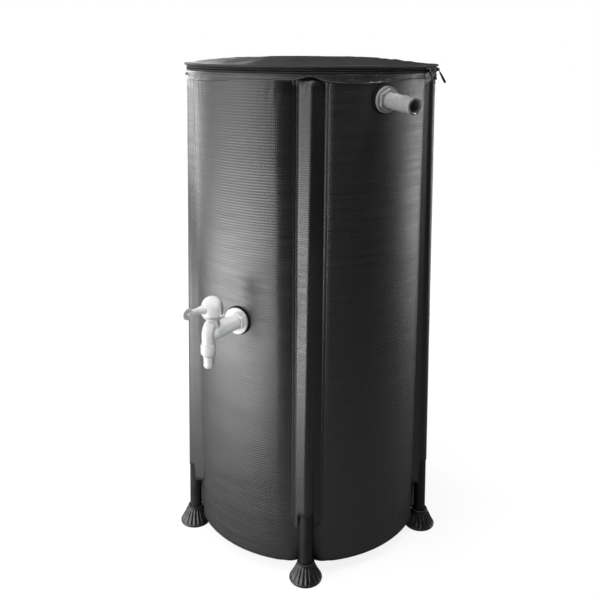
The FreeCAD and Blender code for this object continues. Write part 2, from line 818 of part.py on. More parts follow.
def build_pull(letter, angle, long, lean_angle, ring_end):
    """Build a pull in its own frame: pin along Y, strip hanging along -Z, then lean it."""
    name = "Pull" + letter.upper()
    arm_gap = size.bridge_width / 2 + size.pull_pin_play * 2
    half = size.pull_width / 2
    knuckle = size.pull_thickness
    pin = cylinder(name + "Pin", size.pull_pin_radius, size.pull_width)
    pin.Placement = Placement(Vector(0, 0, 0), Rotation(Vector(1, 0, 0), -90))
    bind(pin, {"Placement.Base.y": -half})
    frame_drop = size.bridge_height / 2 + size.bridge_reach
    thick = size.pull_thickness
    outer = block(name + "Outer", thick, size.pull_width, frame_drop + knuckle)
    bind(outer, {
        "Placement.Base.x": -thick / 2,
        "Placement.Base.y": -half,
        "Placement.Base.z": -frame_drop,
    })
    room = block(name + "Room", thick * 2, arm_gap * 2, frame_drop + knuckle * 2)
    bind(room, {
        "Placement.Base.x": -thick,
        "Placement.Base.y": -arm_gap,
        "Placement.Base.z": -frame_drop + thick,
    })
    frame = cut(name + "Frame", outer, [room])
    strip = block(name + "Strip", thick, size.pull_width, long - frame_drop - half)
    bind(strip, {
        "Placement.Base.x": -thick / 2,
        "Placement.Base.y": -half,
        "Placement.Base.z": -long + half,
    })
    tip = cylinder(name + "Tip", half, thick)
    turn_to_x(tip, -thick / 2, -long + half)
    pull = fuse(name + "Whole", [frame, pin, strip, tip])
    if ring_end:
        hole = cylinder(name + "Hole", half * 0.6, thick * 2)
        turn_to_x(hole, -thick, -long + half)
        pull = cut(name, pull, [hole])
    level = float(hinge_level())
    place = outward(angle) * float(hinge_radius()) + Vector(0, 0, level)
    lean_turn = Rotation(Vector(0, 1, 0), -float(lean_angle))
    pull.Placement = Placement(place, facing(angle).multiply(lean_turn))
    keep("zip_pull_" + letter, pull)


# Tap

def gasket(name, radius, thickness, frame, inner_side, hole_radius):
    """Return a soft gasket that fills the space between a flat flange and the curved wall."""
    sunk = size.gasket_thickness
    if inner_side:
        disc = cylinder(name + "Disc", radius, sunk + thickness)
        turn_to_x(disc, -size.fabric - thickness, 0)
    else:
        disc = cylinder(name + "Disc", radius, sunk + thickness)
        turn_to_x(disc, -sunk, 0)
    hole = cylinder(name + "Hole", hole_radius, 4 * (sunk + thickness))
    turn_to_x(hole, -2 * (sunk + thickness), 0)
    blank = cut(name + "Blank", disc, [hole])
    blank.Placement = frame
    if inner_side:
        return common(name, blank, inside)
    return cut(name, blank, [outside])


def lock_nut(name, corner_radius, hole_radius, frame):
    """Return the lock nut on a shank inside the tank."""
    face = size.fabric + size.gasket_thickness
    nut = hexagon(name + "Hexagon", corner_radius, size.lock_nut_height)
    turn_to_x(nut, -face - size.lock_nut_height, 0)
    hole = cylinder(name + "Hole", hole_radius, size.lock_nut_height * 2)
    turn_to_x(hole, -face - size.lock_nut_height * 1.5, 0)
    feature = cut(name, nut, [hole])
    feature.Placement = frame
    return feature


def spout_path(name, radius):
    """Return the spout's bend and its straight end, for its outside or its bore."""
    bend = doc.addObject("Part::Torus", name + "Bend")
    bind(bend, {"Radius1": size.spout_bend_radius, "Radius2": radius,
                "Angle3": size.spout_bend_angle})
    turn = Rotation(Vector(1, 0, 0), 90)
    bend.Placement = Placement(Vector(0, 0, 0), turn)
    bind(bend, {
        "Placement.Base.x": size.tap_reach + size.spout_reach - size.spout_bend_radius,
        "Placement.Base.z": -size.spout_bend_drop,
    })
    drop = size.spout_end_drop - size.spout_bend_drop
    end = cylinder(name + "End", radius, drop)
    stand_at(end, size.tap_reach + size.spout_reach, -size.spout_end_drop)
    return [bend, end]


def build_tap_body():
    face = size.gasket_thickness
    flange = turn_to_x(cylinder("TapFlange", size.tap_flange_radius,
                                size.tap_flange_thickness), face, 0)
    hex_start = face + size.tap_flange_thickness
    hexa = turn_to_x(hexagon("TapHexagon", size.tap_hex_radius, size.tap_hex_length),
                     hex_start, 0)
    shank = turn_to_x(cylinder("TapShank", size.tap_shank_radius,
                               size.tap_shank_length + face), -size.tap_shank_length, 0)
    barrel = turn_to_x(cylinder("TapBarrel", size.tap_barrel_radius,
                                size.tap_reach - hex_start), hex_start, 0)
    bulb = stand_at(ball("TapBulb", size.tap_barrel_radius), size.tap_reach, 0)
    neck = stand_at(cylinder("TapNeck", size.tap_neck_radius, size.tap_neck_height),
                    size.tap_reach, 0)
    flare_height = size.collar_radius - size.tap_neck_radius
    flare = stand_at(cone("TapFlare", size.tap_neck_radius, size.collar_radius - 1,
                          flare_height), size.tap_reach, size.tap_neck_height - flare_height)
    thread = stand_at(cylinder("SpoutThread", size.union_thread_radius,
                               size.spout_end_drop - size.union_nut_top_drop - 1),
                      size.tap_reach + size.spout_reach, -size.spout_end_drop)
    solids = [flange, hexa, shank, barrel, bulb, neck, flare, thread]
    solids += spout_path("Spout", size.spout_radius)
    inlet = turn_to_x(cylinder("TapInlet", size.tap_bore_radius,
                               size.tap_reach + size.tap_shank_length),
                      -size.tap_shank_length, 0)
    room = stand_at(ball("BallRoom", size.ball_radius + size.ball_play), size.tap_reach, 0)
    outlet = turn_to_x(cylinder("TapOutlet", size.tap_bore_radius, size.spout_reach),
                       size.tap_reach, 0)
    stem_hole = stand_at(cylinder("StemHole", size.stem_radius + size.stem_play,
                                  size.tap_neck_height * 2), size.tap_reach, 0)
    seal_room = stand_at(cylinder("SealRoom", size.stem_radius + 2 * size.seal_radius + 0.1,
                                  2 * size.seal_radius + 0.2),
                         size.tap_reach, size.seal_height - size.seal_radius - 0.1)
    voids = [inlet, room, outlet, stem_hole, seal_room]
    voids += spout_path("SpoutBore", size.spout_bore_radius)
    body = cut("TapBody", fuse("TapWhole", solids), voids)
    body.Placement = tap_frame()
    keep("tap_body", body)


def build_valve():
    reach = size.tap_reach
    sphere = stand_at(ball("ValveSphere", size.ball_radius), reach, 0)
    stem = stand_at(cylinder("ValveStem", size.stem_radius, size.stem_length), reach, 0)
    bore = cylinder("ValveBore", size.ball_bore_radius, size.ball_radius * 4)
    turn = Rotation(FLOOR_UP, -float(size.lever_angle))
    bore.Placement = Placement(Vector(0, 0, 0), turn.multiply(Rotation(Vector(0, 1, 0), 90)))
    back = -2 * float(size.ball_radius)
    spin = turn.multVec(Vector(back, 0, 0))
    bore.Placement.Base = Vector(float(reach) + spin.x, spin.y, 0)
    valve = cut("ValveBall", fuse("ValveWhole", [sphere, stem]), [bore])
    valve.Placement = tap_frame()
    keep("valve_ball", valve)
    rings = []
    for name, start in (("SeatInlet", reach - size.ball_radius - size.seat_length / 3),
                        ("SeatOutlet", reach + size.ball_radius - size.seat_length * 2 / 3)):
        outer = turn_to_x(cylinder(name + "Outer", size.tap_bore_radius, size.seat_length),
                          start, 0)
        inner = turn_to_x(cylinder(name + "Inner", size.ball_bore_radius,
                                   size.seat_length * 3), start - size.seat_length, 0)
        room = stand_at(ball(name + "Room", size.ball_radius + size.ball_play), reach, 0)
        rings.append(cut(name, outer, [inner, room]))
    seats = doc.addObject("Part::Compound", "BallSeats")
    seats.Links = rings
    seats.Placement = tap_frame()
    keep("ball_seats", seats)
    seal = doc.addObject("Part::Torus", "StemSeal")
    bind(seal, {"Radius1": size.stem_radius + size.seal_radius + size.stem_play,
                "Radius2": size.seal_radius})
    base = tap_frame().multVec(Vector(float(reach), 0, float(size.seal_height)))
    seal.Placement = Placement(base, Rotation())
    keep("stem_seal", seal)


def build_handle():
    """Build the domed handle with its lever and eye, moulded as one piece."""
    low = size.tap_neck_height + size.collar_height + size.dome_play
    centre = low + size.dome_side
    side = stand_at(cylinder("DomeSide", size.dome_radius, size.dome_side), 0, low)
    top = stand_at(ball("DomeTop", size.dome_radius), 0, centre)
    top.Angle1 = 0
    hollow_radius = size.dome_radius - size.dome_wall
    hollow = stand_at(cylinder("DomeHollow", hollow_radius, size.dome_side), 0, low)
    boss = stand_at(cylinder("DomeBoss", size.stem_radius * 2, size.dome_side), 0, low)
    lever_level = centre - size.lever_drop
    reach = size.lever_length
    root_end = size.dome_radius + (reach - size.dome_radius - size.eye_radius) * 0.55
    root_start = hollow_radius * 0.9
    root = turn_to_x(cone("LeverRoot", size.lever_root_radius, size.lever_neck_radius,
                          root_end - root_start), root_start, lever_level)
    neck = turn_to_x(cylinder("LeverNeck", size.lever_neck_radius, reach - root_end),
                     root_end, lever_level)
    eye = cylinder("LeverEye", size.eye_radius, size.eye_thickness)
    eye.Placement = Placement(Vector(0, 0, 0), Rotation(Vector(1, 0, 0), -90))
    bind(eye, {"Placement.Base.x": reach, "Placement.Base.y": -size.eye_thickness / 2,
               "Placement.Base.z": lever_level})
    hole = cylinder("EyeHole", size.eye_hole_radius, size.eye_thickness * 2)
    hole.Placement = Placement(Vector(0, 0, 0), Rotation(Vector(1, 0, 0), -90))
    bind(hole, {"Placement.Base.x": reach, "Placement.Base.y": -size.eye_thickness,
                "Placement.Base.z": lever_level})
    socket = stand_at(cylinder("StemSocket", size.stem_radius, size.stem_length - low),
                      0, low)
    shell = cut("DomeShell", fuse("Dome", [side, top, root, neck, eye]), [hollow])
    handle = cut("TapHandle", fuse("DomeBossed", [shell, boss]), [socket, hole])
    base = tap_frame().multVec(Vector(float(size.tap_reach), 0, 0))
    turn = facing(-float(size.lever_angle))
    handle.Placement = Placement(base, turn)
    keep("tap_handle", handle)
    outer = stand_at(cylinder("CollarOuter", size.collar_radius, size.collar_height),
                     size.tap_reach, size.tap_neck_height)
    inner = stand_at(cylinder("CollarInner", size.stem_radius + size.stem_play,
                              size.collar_height * 2), size.tap_reach, size.tap_neck_height)
    collar = cut("RetainingRing", outer, [inner])
    collar.Placement = tap_frame()
    keep("retaining_ring", collar)


def union_frame():
    """Return the place of the union nut and the hose tail, on the spout's axis."""
    reach = float(size.tap_reach + size.spout_reach)
    base = tap_frame().multVec(Vector(reach, 0, 0))
    return Placement(base, facing(0))


def build_union():
    top = -size.union_nut_top_drop
    low = top - size.union_nut_height
    radius = size.union_nut_radius
    soft = size.union_nut_height / 8
    nut = revolved("UnionNut", [
        (size.union_thread_radius + size.thread_play, top),
        (radius - soft * 0.3, top),
        (radius, top - soft),
        (radius, low + soft),
        (radius - soft * 0.3, low),
        (size.tail_ridge_radius + size.thread_play, low),
        (size.tail_ridge_radius + size.thread_play, low + size.union_lip),
        (size.union_thread_radius + size.thread_play, low + size.union_lip),
    ])
    flute_sketch = nut.newObject("Sketcher::SketchObject", "FluteOutline")
    plane = [item for item in nut.Origin.OriginFeatures if item.Role == "XY_Plane"][0]
    flute_sketch.AttachmentSupport = [(plane, "")]
    flute_sketch.MapMode = "FlatFace"
    reach = radius + size.flute_radius * 0.4
    circle = Part.Circle(Vector(float(reach), 0, 0), FLOOR_UP, float(size.flute_radius))
    flute_sketch.addGeometry(circle, False)
    on_axis = Sketcher.Constraint("PointOnObject", 0, 3, -1)
    flute_sketch.addConstraint(on_axis)
    across = Sketcher.Constraint("DistanceX", -1, 1, 0, 3, float(reach))
    number = flute_sketch.addConstraint(across)
    flute_sketch.setExpression("Constraints[%d]" % number, reach.text)
    round_size = Sketcher.Constraint("Radius", 0, float(size.flute_radius))
    number = flute_sketch.addConstraint(round_size)
    flute_sketch.setExpression("Constraints[%d]" % number, size.flute_radius.text)
    flute = nut.newObject("PartDesign::Pocket", "Flute")
    flute.Profile = flute_sketch
    bind(flute, {"Length": size.union_nut_top_drop + size.union_nut_height})
    pattern = nut.newObject("PartDesign::PolarPattern", "Flutes")
    pattern.Originals = [flute]
    pattern.Axis = (flute_sketch, ["N_Axis"])
    pattern.Angle = 360
    bind(pattern, {"Occurrences": size.union_flutes})
    nut.Tip = pattern
    nut.Placement = union_frame()
    keep("union_nut", nut)
    washer_top = -size.spout_end_drop
    washer = ring("UnionWasher", size.spout_bore_radius, size.union_thread_radius,
                  washer_top - size.washer_thickness, washer_top)
    washer.Placement = union_frame()
    keep("union_washer", washer)
    flange_top = washer_top - size.washer_thickness
    flange_low = flange_top - size.tail_flange_thickness
    bottom = -size.tail_end_drop
    ridge = size.tail_ridge_height
    neck_low = low - size.union_lip
    tail = revolved("HoseTail", [
        (size.tail_bore_radius, flange_top),
        (size.union_thread_radius, flange_top),
        (size.union_thread_radius, flange_low),
        (size.tail_neck_radius, flange_low),
        (size.tail_neck_radius, neck_low),
        (size.tail_ridge_radius, neck_low),
        (size.tail_radius, neck_low - ridge),
        (size.tail_radius, bottom + ridge),
        (size.tail_ridge_radius, bottom + ridge),
        (size.tail_radius - size.flute_radius, bottom),
        (size.tail_bore_radius, bottom),
    ])
    tail.Placement = union_frame()
    keep("hose_tail", tail)


def build_tap():
    build_tap_body()
    build_valve()
    build_handle()
    build_union()
    frame = tap_frame()
    keep("tap_gasket", gasket("TapGasket", size.tap_flange_radius + size.gasket_margin,
                              size.gasket_thickness, frame, False, size.tap_shank_radius))
    keep("tap_inner_gasket", gasket("TapInnerGasket", size.tap_lock_nut_radius,
                                    size.gasket_thickness, frame, True,
                                    size.tap_shank_radius))
    keep("tap_lock_nut", lock_nut("TapLockNut", size.tap_lock_nut_radius,
                                  size.tap_shank_radius + size.thread_play, frame))


# Overflow

def build_overflow():
    face = size.overflow_gasket_thickness
    shank_length = size.overflow_shank_length
    shank = turn_to_x(cylinder("OverflowShank", size.overflow_shank_radius,
                               shank_length + face), -shank_length, 0)
    flange = turn_to_x(cylinder("OverflowFlange", size.overflow_flange_radius,
                                size.overflow_flange_thickness), face, 0)
    hex_start = face + size.overflow_flange_thickness
    hexa = turn_to_x(hexagon("OverflowHexagon", size.overflow_hex_radius,
                             size.overflow_hex_length), hex_start, 0)
    neck_start = hex_start + size.overflow_hex_length
    neck = turn_to_x(cylinder("OverflowNeck", size.overflow_neck_radius,
                              size.overflow_neck_length), neck_start, 0)
    tail_start = neck_start + size.overflow_neck_length
    tail = turn_to_x(cylinder("OverflowTail", size.overflow_tail_radius,
                              size.overflow_tail_length), tail_start, 0)
    solids = [shank, flange, hexa, neck, tail]
    step = size.overflow_ridge_length + size.overflow_ridge_gap
    for index in range(2):
        ridge = cone("OverflowRidge%d" % (index + 1), size.overflow_ridge_radius,
                     size.overflow_tail_radius, size.overflow_ridge_length)
        solids.append(turn_to_x(ridge, tail_start + step * index, 0))
    lip_start = tail_start + size.overflow_tail_length - size.overflow_ridge_length / 2
    lip = cylinder("OverflowLip", size.overflow_ridge_radius, size.overflow_ridge_length / 2)
    solids.append(turn_to_x(lip, lip_start, 0))
    bore = cylinder("OverflowBore", size.overflow_bore_radius,
                    (tail_start + size.overflow_tail_length) * 3)
    turn_to_x(bore, -shank_length * 2, 0)
    body = cut("OverflowBody", fuse("OverflowWhole", solids), [bore])
    frame = overflow_frame()
    body.Placement = frame
    keep("overflow_body", body)
    keep("overflow_gasket", gasket("OverflowGasket",
                                   size.overflow_flange_radius + size.gasket_margin,
                                   face, frame, False, size.overflow_shank_radius))
    keep("overflow_inner_gasket", gasket("OverflowInnerGasket",
                                         size.overflow_lock_nut_radius,
                                         size.gasket_thickness, frame, True,
                                         size.overflow_shank_radius))
    keep("overflow_lock_nut", lock_nut("OverflowLockNut", size.overflow_lock_nut_radius,
                                       size.overflow_shank_radius + size.thread_play,
                                       frame))


def check_and_write():
    """Stop on any failed feature or bad shape, then write one file for each node."""
    doc.recompute()
    for item in doc.Objects:
        if "Invalid" in item.State or "Error" in item.State:
            raise RuntimeError("feature failed: " + item.Name)
    for name, feature in nodes.items():
        shape = feature.Shape
        if shape.isNull() or not shape.isValid() or not shape.Solids:
            raise RuntimeError("bad shape: " + name)
    os.makedirs("parts", exist_ok=True)
    for name, feature in nodes.items():
        feature.Shape.exportStep("parts/" + name + ".step")


build_tank()
for number in range(POLES):
    build_pole(number)
    build_foot(number)
build_sleeves()
build_zip()
build_lid()
build_slider("a", size.slider_a_angle)
build_slider("b", size.slider_b_angle)
build_pull("a", size.slider_a_angle, size.pull_a_length, size.pull_a_lean, False)
build_pull("b", size.slider_b_angle, size.pull_b_length, size.pull_b_lean, True)
build_tap()
build_overflow()
check_and_write()
print("wrote %d nodes" % len(nodes))
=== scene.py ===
import math

import bpy
import numpy as np
from mathutils import Euler, Matrix, Vector, noise


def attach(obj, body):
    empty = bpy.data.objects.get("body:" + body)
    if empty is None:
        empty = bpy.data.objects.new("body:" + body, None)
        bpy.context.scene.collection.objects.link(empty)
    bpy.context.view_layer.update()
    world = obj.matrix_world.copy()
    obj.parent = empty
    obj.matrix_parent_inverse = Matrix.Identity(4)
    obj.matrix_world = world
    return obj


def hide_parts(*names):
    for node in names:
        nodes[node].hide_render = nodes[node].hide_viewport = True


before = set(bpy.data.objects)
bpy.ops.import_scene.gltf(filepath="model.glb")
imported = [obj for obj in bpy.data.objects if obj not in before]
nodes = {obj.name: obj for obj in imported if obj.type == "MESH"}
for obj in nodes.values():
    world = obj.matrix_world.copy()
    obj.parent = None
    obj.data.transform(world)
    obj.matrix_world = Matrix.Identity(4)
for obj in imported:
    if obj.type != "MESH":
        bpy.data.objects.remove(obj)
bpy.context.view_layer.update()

scene = bpy.context.scene

# Sizes in metres and angles in degrees, in the part's own frame

POLES = 5
FIRST_POLE = 32.0
WALL_LOW = 0.020
WALL_TOP = 0.777
GROOVE_END = 0.768
RIM_START = 0.774
WALL_R_LOW = 0.200
WALL_R_TOP = 0.192
POLE_R_FLOOR = 0.210
POLE_R_TOP = 0.1832
POLE_R = 0.010
GROOVE_BEFORE = 0.048
GROOVE_AFTER = 0.034
GROOVE_HALF_LOW = 0.028
SLEEVE_LOW = 0.086
SLEEVE_TOP = 0.7715
WELD_HALF = 0.027
WELD_GAP = 0.00001
EDGE_ANGLE = 28.0
NOTCH_HALF = 0.0115
ROW_LOWER = (0.7786, 0.7804)
ROW_UPPER = (0.7814, 0.7832)
ROW_R = (0.191, 0.193)
LID_LOW = 0.7845
LID_HIGH = 0.7868
LID_DOME = 0.0112
WINDOW_R = 0.062
SEAM_ANGLES = (43.3, 48.9)
HINGE_R = 0.19605
HINGE_Z = 0.7809
PULL_A = (111.0, 30.0)
PULL_B = (92.0, 28.0)
TAP = (0.0, 0.422)
OVERFLOW = (64.0, 0.7445)
WALL_R_MEAN = 0.196
BAND_R = 0.193
STITCH_R = 0.1933
STITCH_Z = 0.7745
FABRIC_IOR = 1.62
FACTOR_LOW, FACTOR_HIGH = 0.3, 0.7
CAMERA_AZIMUTH = 32.7
FLOOR_NEAR = 0.5
FLOOR_FAR = 1.1
FLOOR_GLOW = 0.86


# Shape of the wall

def wall_radius(z):
    """Radius of the wall between its grooves."""
    share = np.clip((np.asarray(z) - WALL_LOW) / (GROOVE_END - WALL_LOW), 0.0, 1.0)
    return WALL_R_LOW + (WALL_R_TOP - WALL_R_LOW) * share


def pole_circle(z):
    """Radius of the circle that the poles' middles lie on. They lean inwards."""
    return POLE_R_FLOOR + (POLE_R_TOP - POLE_R_FLOOR) * np.asarray(z) / GROOVE_END


def groove_depth(z):
    """Depth of the groove that holds a pole; it ends below the rim."""
    levels = np.array([WALL_LOW, 0.031, 0.086, GROOVE_END, RIM_START])
    held = np.array([0.01731, 0.0135, POLE_R, POLE_R, 0.0])
    depth = wall_radius(levels) - pole_circle(levels) + held + 0.0003
    depth[-1] = 0.0
    return np.interp(z, levels, depth)


def to_pole(phi):
    """Angle in degrees from the nearest pole."""
    step = 360.0 / POLES
    return (np.asarray(phi) - FIRST_POLE + step / 2) % step - step / 2


def wall_r(phi, z):
    """Radius of the wall. A groove runs out sooner past its pole than before it."""
    radius = wall_radius(z)
    across = np.radians(to_pole(phi)) * radius
    full = np.where(across < 0, GROOVE_BEFORE, GROOVE_AFTER)
    share = np.interp(z, [0.031, 0.1], [0.0, 1.0])
    half = GROOVE_HALF_LOW + (full - GROOVE_HALF_LOW) * share
    dip = groove_depth(z) * (1 + np.cos(np.pi * across / half)) / 2
    return radius - np.where(np.abs(across) < half, dip, 0.0)


def polar(phi, radius, z):
    """Points at an angle from the tap, a radius and a height."""
    turn = np.radians(phi)
    x, y, z = np.broadcast_arrays(radius * np.sin(turn), -radius * np.cos(turn), z)
    return np.stack([x, y, z], axis=-1)


def field(points, size, seed=0.0):
    """Smooth noise from -1 to 1 at an array of points."""
    flat = points.reshape(-1, 3) / size
    shift = Vector((seed, seed * 0.37, seed * 1.31))
    values = [noise.noise(Vector(p) + shift) for p in flat]
    return np.array(values).reshape(points.shape[:-1])


# Mesh building

def grid_object(name, points, uv, close_u=False):
    """Make a mesh of quads from a grid of points (rows, columns, 3) with a UV map in metres."""
    rows, columns = points.shape[:2]
    steps = columns if close_u else columns - 1
    row, column = np.meshgrid(np.arange(rows - 1), np.arange(steps), indexing="ij")
    after = (column + 1) % columns
    corners = np.stack([
        row * columns + column,
        row * columns + after,
        (row + 1) * columns + after,
        (row + 1) * columns + column,
    ], axis=-1).reshape(-1, 4)
    uv_wide = uv
    if close_u:
        width = uv[:, -1:, 0] + (uv[:, 1:2, 0] - uv[:, 0:1, 0])
        seam = np.stack([width, uv[:, 0:1, 1]], axis=-1)
        uv_wide = np.concatenate([uv, seam], axis=1)
    loops = np.stack([
        uv_wide[row, column],
        uv_wide[row, column + 1],
        uv_wide[row + 1, column + 1],
        uv_wide[row + 1, column],
    ], axis=-2).reshape(-1, 4, 2)
    mesh = bpy.data.meshes.new(name)
    mesh.from_pydata(points.reshape(-1, 3).tolist(), [], corners.tolist())
    layer = mesh.uv_layers.new(name="metres")
    layer.data.foreach_set("uv", loops.reshape(-1).astype(np.float32))
    mesh.polygons.foreach_set("use_smooth", [True] * len(mesh.polygons))
    mesh.update()
    piece = bpy.data.objects.new(name, mesh)
    scene.collection.objects.link(piece)
    return piece


def mesh_object(name, vertices, faces):
    """Make a smooth mesh from lists of corners and faces."""
    mesh = bpy.data.meshes.new(name)
    mesh.from_pydata(vertices, [], faces)
    mesh.uv_layers.new(name="metres")
    mesh.polygons.foreach_set("use_smooth", [True] * len(mesh.polygons))
    piece = bpy.data.objects.new(name, mesh)
    scene.collection.objects.link(piece)
    return piece


def finish_piece(piece, material, replaced=(), body="tank"):
    """Give a piece its material, slot and body, and hide the CAD nodes that it stands for."""
    piece.data.materials.append(material)
    if replaced:
        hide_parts(*replaced)
    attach(piece, body)
    return piece


def thicken(piece, thickness, offset):
    """Give a skin its thickness: inwards for an offset of -1, outwards for 1."""
    skin = piece.modifiers.new("thickness", "SOLIDIFY")
    skin.thickness = thickness
    skin.offset = offset


def weld_corners(piece):
    """Join corners that lie in the same place."""
    weld = piece.modifiers.new("weld", "WELD")
    weld.merge_threshold = WELD_GAP


# Materials

def new_material(name):
    """Make a material with one Principled shader."""
    material = bpy.data.materials.new(name)
    material.use_nodes = True
    tree = material.node_tree
    tree.nodes.clear()
    output = tree.nodes.new("ShaderNodeOutputMaterial")
    shader = tree.nodes.new("ShaderNodeBsdfPrincipled")
    tree.links.new(shader.outputs["BSDF"], output.inputs["Surface"])
    return material, tree, shader


def math_node(tree, operation, first, second=None):
    """Add a Math node; its inputs are numbers or sockets."""
    node = tree.nodes.new("ShaderNodeMath")
    node.operation = operation
    for socket, value in zip(node.inputs, (first, second)):
        if value is None:
            continue
        if isinstance(value, (int, float)):
            socket.default_value = value
        else:
            tree.links.new(value, socket)
    return node.outputs[0]


def coordinates(tree, kind):
    node = tree.nodes.new("ShaderNodeTexCoord")
    return node.outputs[kind]


def noise_node(tree, where, scale, detail=4.0, stretch=None):
    if stretch is not None:
        mapping = tree.nodes.new("ShaderNodeMapping")
        mapping.inputs["Scale"].default_value = stretch
        tree.links.new(where, mapping.inputs["Vector"])
        where = mapping.outputs["Vector"]
    node = tree.nodes.new("ShaderNodeTexNoise")
    node.inputs["Scale"].default_value = scale
    node.inputs["Detail"].default_value = detail
    tree.links.new(where, node.inputs["Vector"])
    return node.outputs["Fac"]


def ramp(tree, factor, low, high):
    """Run from one colour to another over the middle of a factor."""
    node = tree.nodes.new("ShaderNodeValToRGB")
    node.color_ramp.elements[0].position = FACTOR_LOW
    node.color_ramp.elements[0].color = (*low, 1)
    node.color_ramp.elements[1].position = FACTOR_HIGH
    node.color_ramp.elements[1].color = (*high, 1)
    tree.links.new(factor, node.inputs["Fac"])
    return node.outputs["Color"]


def spread(tree, factor, low, high):
    """Run from one number to another over the middle of a factor."""
    node = tree.nodes.new("ShaderNodeMapRange")
    node.inputs["From Min"].default_value = FACTOR_LOW
    node.inputs["From Max"].default_value = FACTOR_HIGH
    node.inputs["To Min"].default_value = low
    node.inputs["To Max"].default_value = high
    tree.links.new(factor, node.inputs["Value"])
    return node.outputs["Result"]


def bump(tree, height, distance, strength=1.0, under=None):
    node = tree.nodes.new("ShaderNodeBump")
    node.inputs["Strength"].default_value = strength
    node.inputs["Distance"].default_value = distance
    tree.links.new(height, node.inputs["Height"])
    if under is not None:
        tree.links.new(under, node.inputs["Normal"])
    return node.outputs["Normal"]


def wave(tree, value, pitch):
    """A sine between -1 and 1 with that pitch, in metres."""
    turned = math_node(tree, "MULTIPLY", value, 2 * math.pi / pitch)
    return math_node(tree, "SINE", turned)


def coated_fabric(name, dark, light, rib=0.0040, thread=0.0028, depth=0.00011,
                  rough=(0.38, 0.5), level=0.6, creases=0.0):
    """Coated woven fabric: ribs across, finer threads along, scuffs, soft waves and creases."""
    material, tree, shader = new_material(name)
    where = coordinates(tree, "UV")
    parts = tree.nodes.new("ShaderNodeSeparateXYZ")
    tree.links.new(where, parts.inputs[0])
    ribs = wave(tree, parts.outputs["Y"], rib)
    threads = wave(tree, parts.outputs["X"], thread)
    cloud = noise_node(tree, where, 9.0, 3.0)
    fine = noise_node(tree, where, 420.0, 2.0)
    streaks = noise_node(tree, where, 5.0, 5.0, (1.2, 26.0, 1.0))
    weave = math_node(tree, "ADD", math_node(tree, "MULTIPLY", ribs, 0.7),
                      math_node(tree, "MULTIPLY", threads, 0.3))
    weave = math_node(tree, "ADD", weave, math_node(tree, "MULTIPLY", fine, 0.6))
    colour = ramp(tree, math_node(tree, "MULTIPLY",
                                  math_node(tree, "ADD", cloud, streaks), 0.5), dark, light)
    tree.links.new(colour, shader.inputs["Base Color"])
    tree.links.new(spread(tree, streaks, rough[0], rough[1]), shader.inputs["Roughness"])
    soft = bump(tree, cloud, 0.0016, 0.5)
    if creases:
        folds = noise_node(tree, where, 7.0, 3.0, (1.0, 4.0, 1.0))
        soft = bump(tree, folds, creases, 1.0, soft)
    tree.links.new(bump(tree, weave, depth, 1.0, soft), shader.inputs["Normal"])
    shader.inputs["Specular IOR Level"].default_value = level
    shader.inputs["IOR"].default_value = FABRIC_IOR
    return material


def moulded(name, dark, light, rough=(0.3, 0.4), grain=700.0, depth=0.00003, level=0.5,
            coat=0.0):
    """Moulded plastic or rubber with a fine skin and a faint change of colour."""
    material, tree, shader = new_material(name)
    where = coordinates(tree, "Object")
    cloud = noise_node(tree, where, 35.0, 3.0)
    fine = noise_node(tree, where, grain, 2.0)
    tree.links.new(ramp(tree, cloud, dark, light), shader.inputs["Base Color"])
    tree.links.new(spread(tree, cloud, rough[0], rough[1]), shader.inputs["Roughness"])
    tree.links.new(bump(tree, fine, depth), shader.inputs["Normal"])
    shader.inputs["Specular IOR Level"].default_value = level
    shader.inputs["Coat Weight"].default_value = coat
    shader.inputs["Coat Roughness"].default_value = 0.12
    return material


WALL = coated_fabric("wall_fabric", (0.006, 0.006, 0.0061), (0.012, 0.012, 0.0122),
                     level=0.95)
SLEEVE = coated_fabric("sleeve_cloth", (0.006, 0.006, 0.0061), (0.012, 0.012, 0.0122),
                       rib=0.0032, depth=0.00008, level=0.8)
LID = coated_fabric("lid_cloth", (0.014, 0.014, 0.0142), (0.028, 0.028, 0.0283), rib=0.0018,
                    depth=0.0001, rough=(0.36, 0.5), level=0.7, creases=0.0009)
BAND = coated_fabric("band_cloth", (0.012, 0.012, 0.0122), (0.030, 0.030, 0.0303), rib=0.0022,
                     depth=0.00015, level=0.8)
TAPE = coated_fabric("woven_tape", (0.035, 0.035, 0.035), (0.06, 0.06, 0.06), rib=0.0011,
                     thread=0.0011, depth=0.0001, rough=(0.6, 0.8), level=0.3)
COIL = moulded("coil_plastic", (0.05, 0.05, 0.05), (0.075, 0.075, 0.075), (0.3, 0.4))
PIPE = moulded("pole_plastic", (0.008, 0.008, 0.0082), (0.014, 0.014, 0.0143), (0.38, 0.5),
               level=0.55)
RUBBER = moulded("foot_rubber", (0.014, 0.014, 0.0142), (0.024, 0.024, 0.0243),
                 (0.34, 0.44), depth=0.00002, level=0.6)
WHITE = moulded("tap_plastic", (0.8, 0.8, 0.8), (0.84, 0.84, 0.84), (0.2, 0.28),
                depth=0.00001)
GREY_RING = moulded("ring_plastic", (0.42, 0.42, 0.42), (0.5, 0.5, 0.5))
SEAL = moulded("seal_rubber", (0.004, 0.004, 0.004), (0.007, 0.007, 0.007), (0.55, 0.65),
               level=0.2)
THREAD = moulded("sewing_thread", (0.06, 0.06, 0.06), (0.1, 0.1, 0.1), (0.5, 0.6))
GREY = moulded("overflow_plastic", (0.33, 0.33, 0.332), (0.39, 0.39, 0.392), (0.24, 0.32))
METAL = moulded("slider_enamel", (0.01, 0.01, 0.01), (0.02, 0.02, 0.02), (0.3, 0.4))
WIRE = moulded("wire", (0.03, 0.03, 0.03), (0.06, 0.06, 0.06), (0.2, 0.3), coat=0.5)


# Tank skin

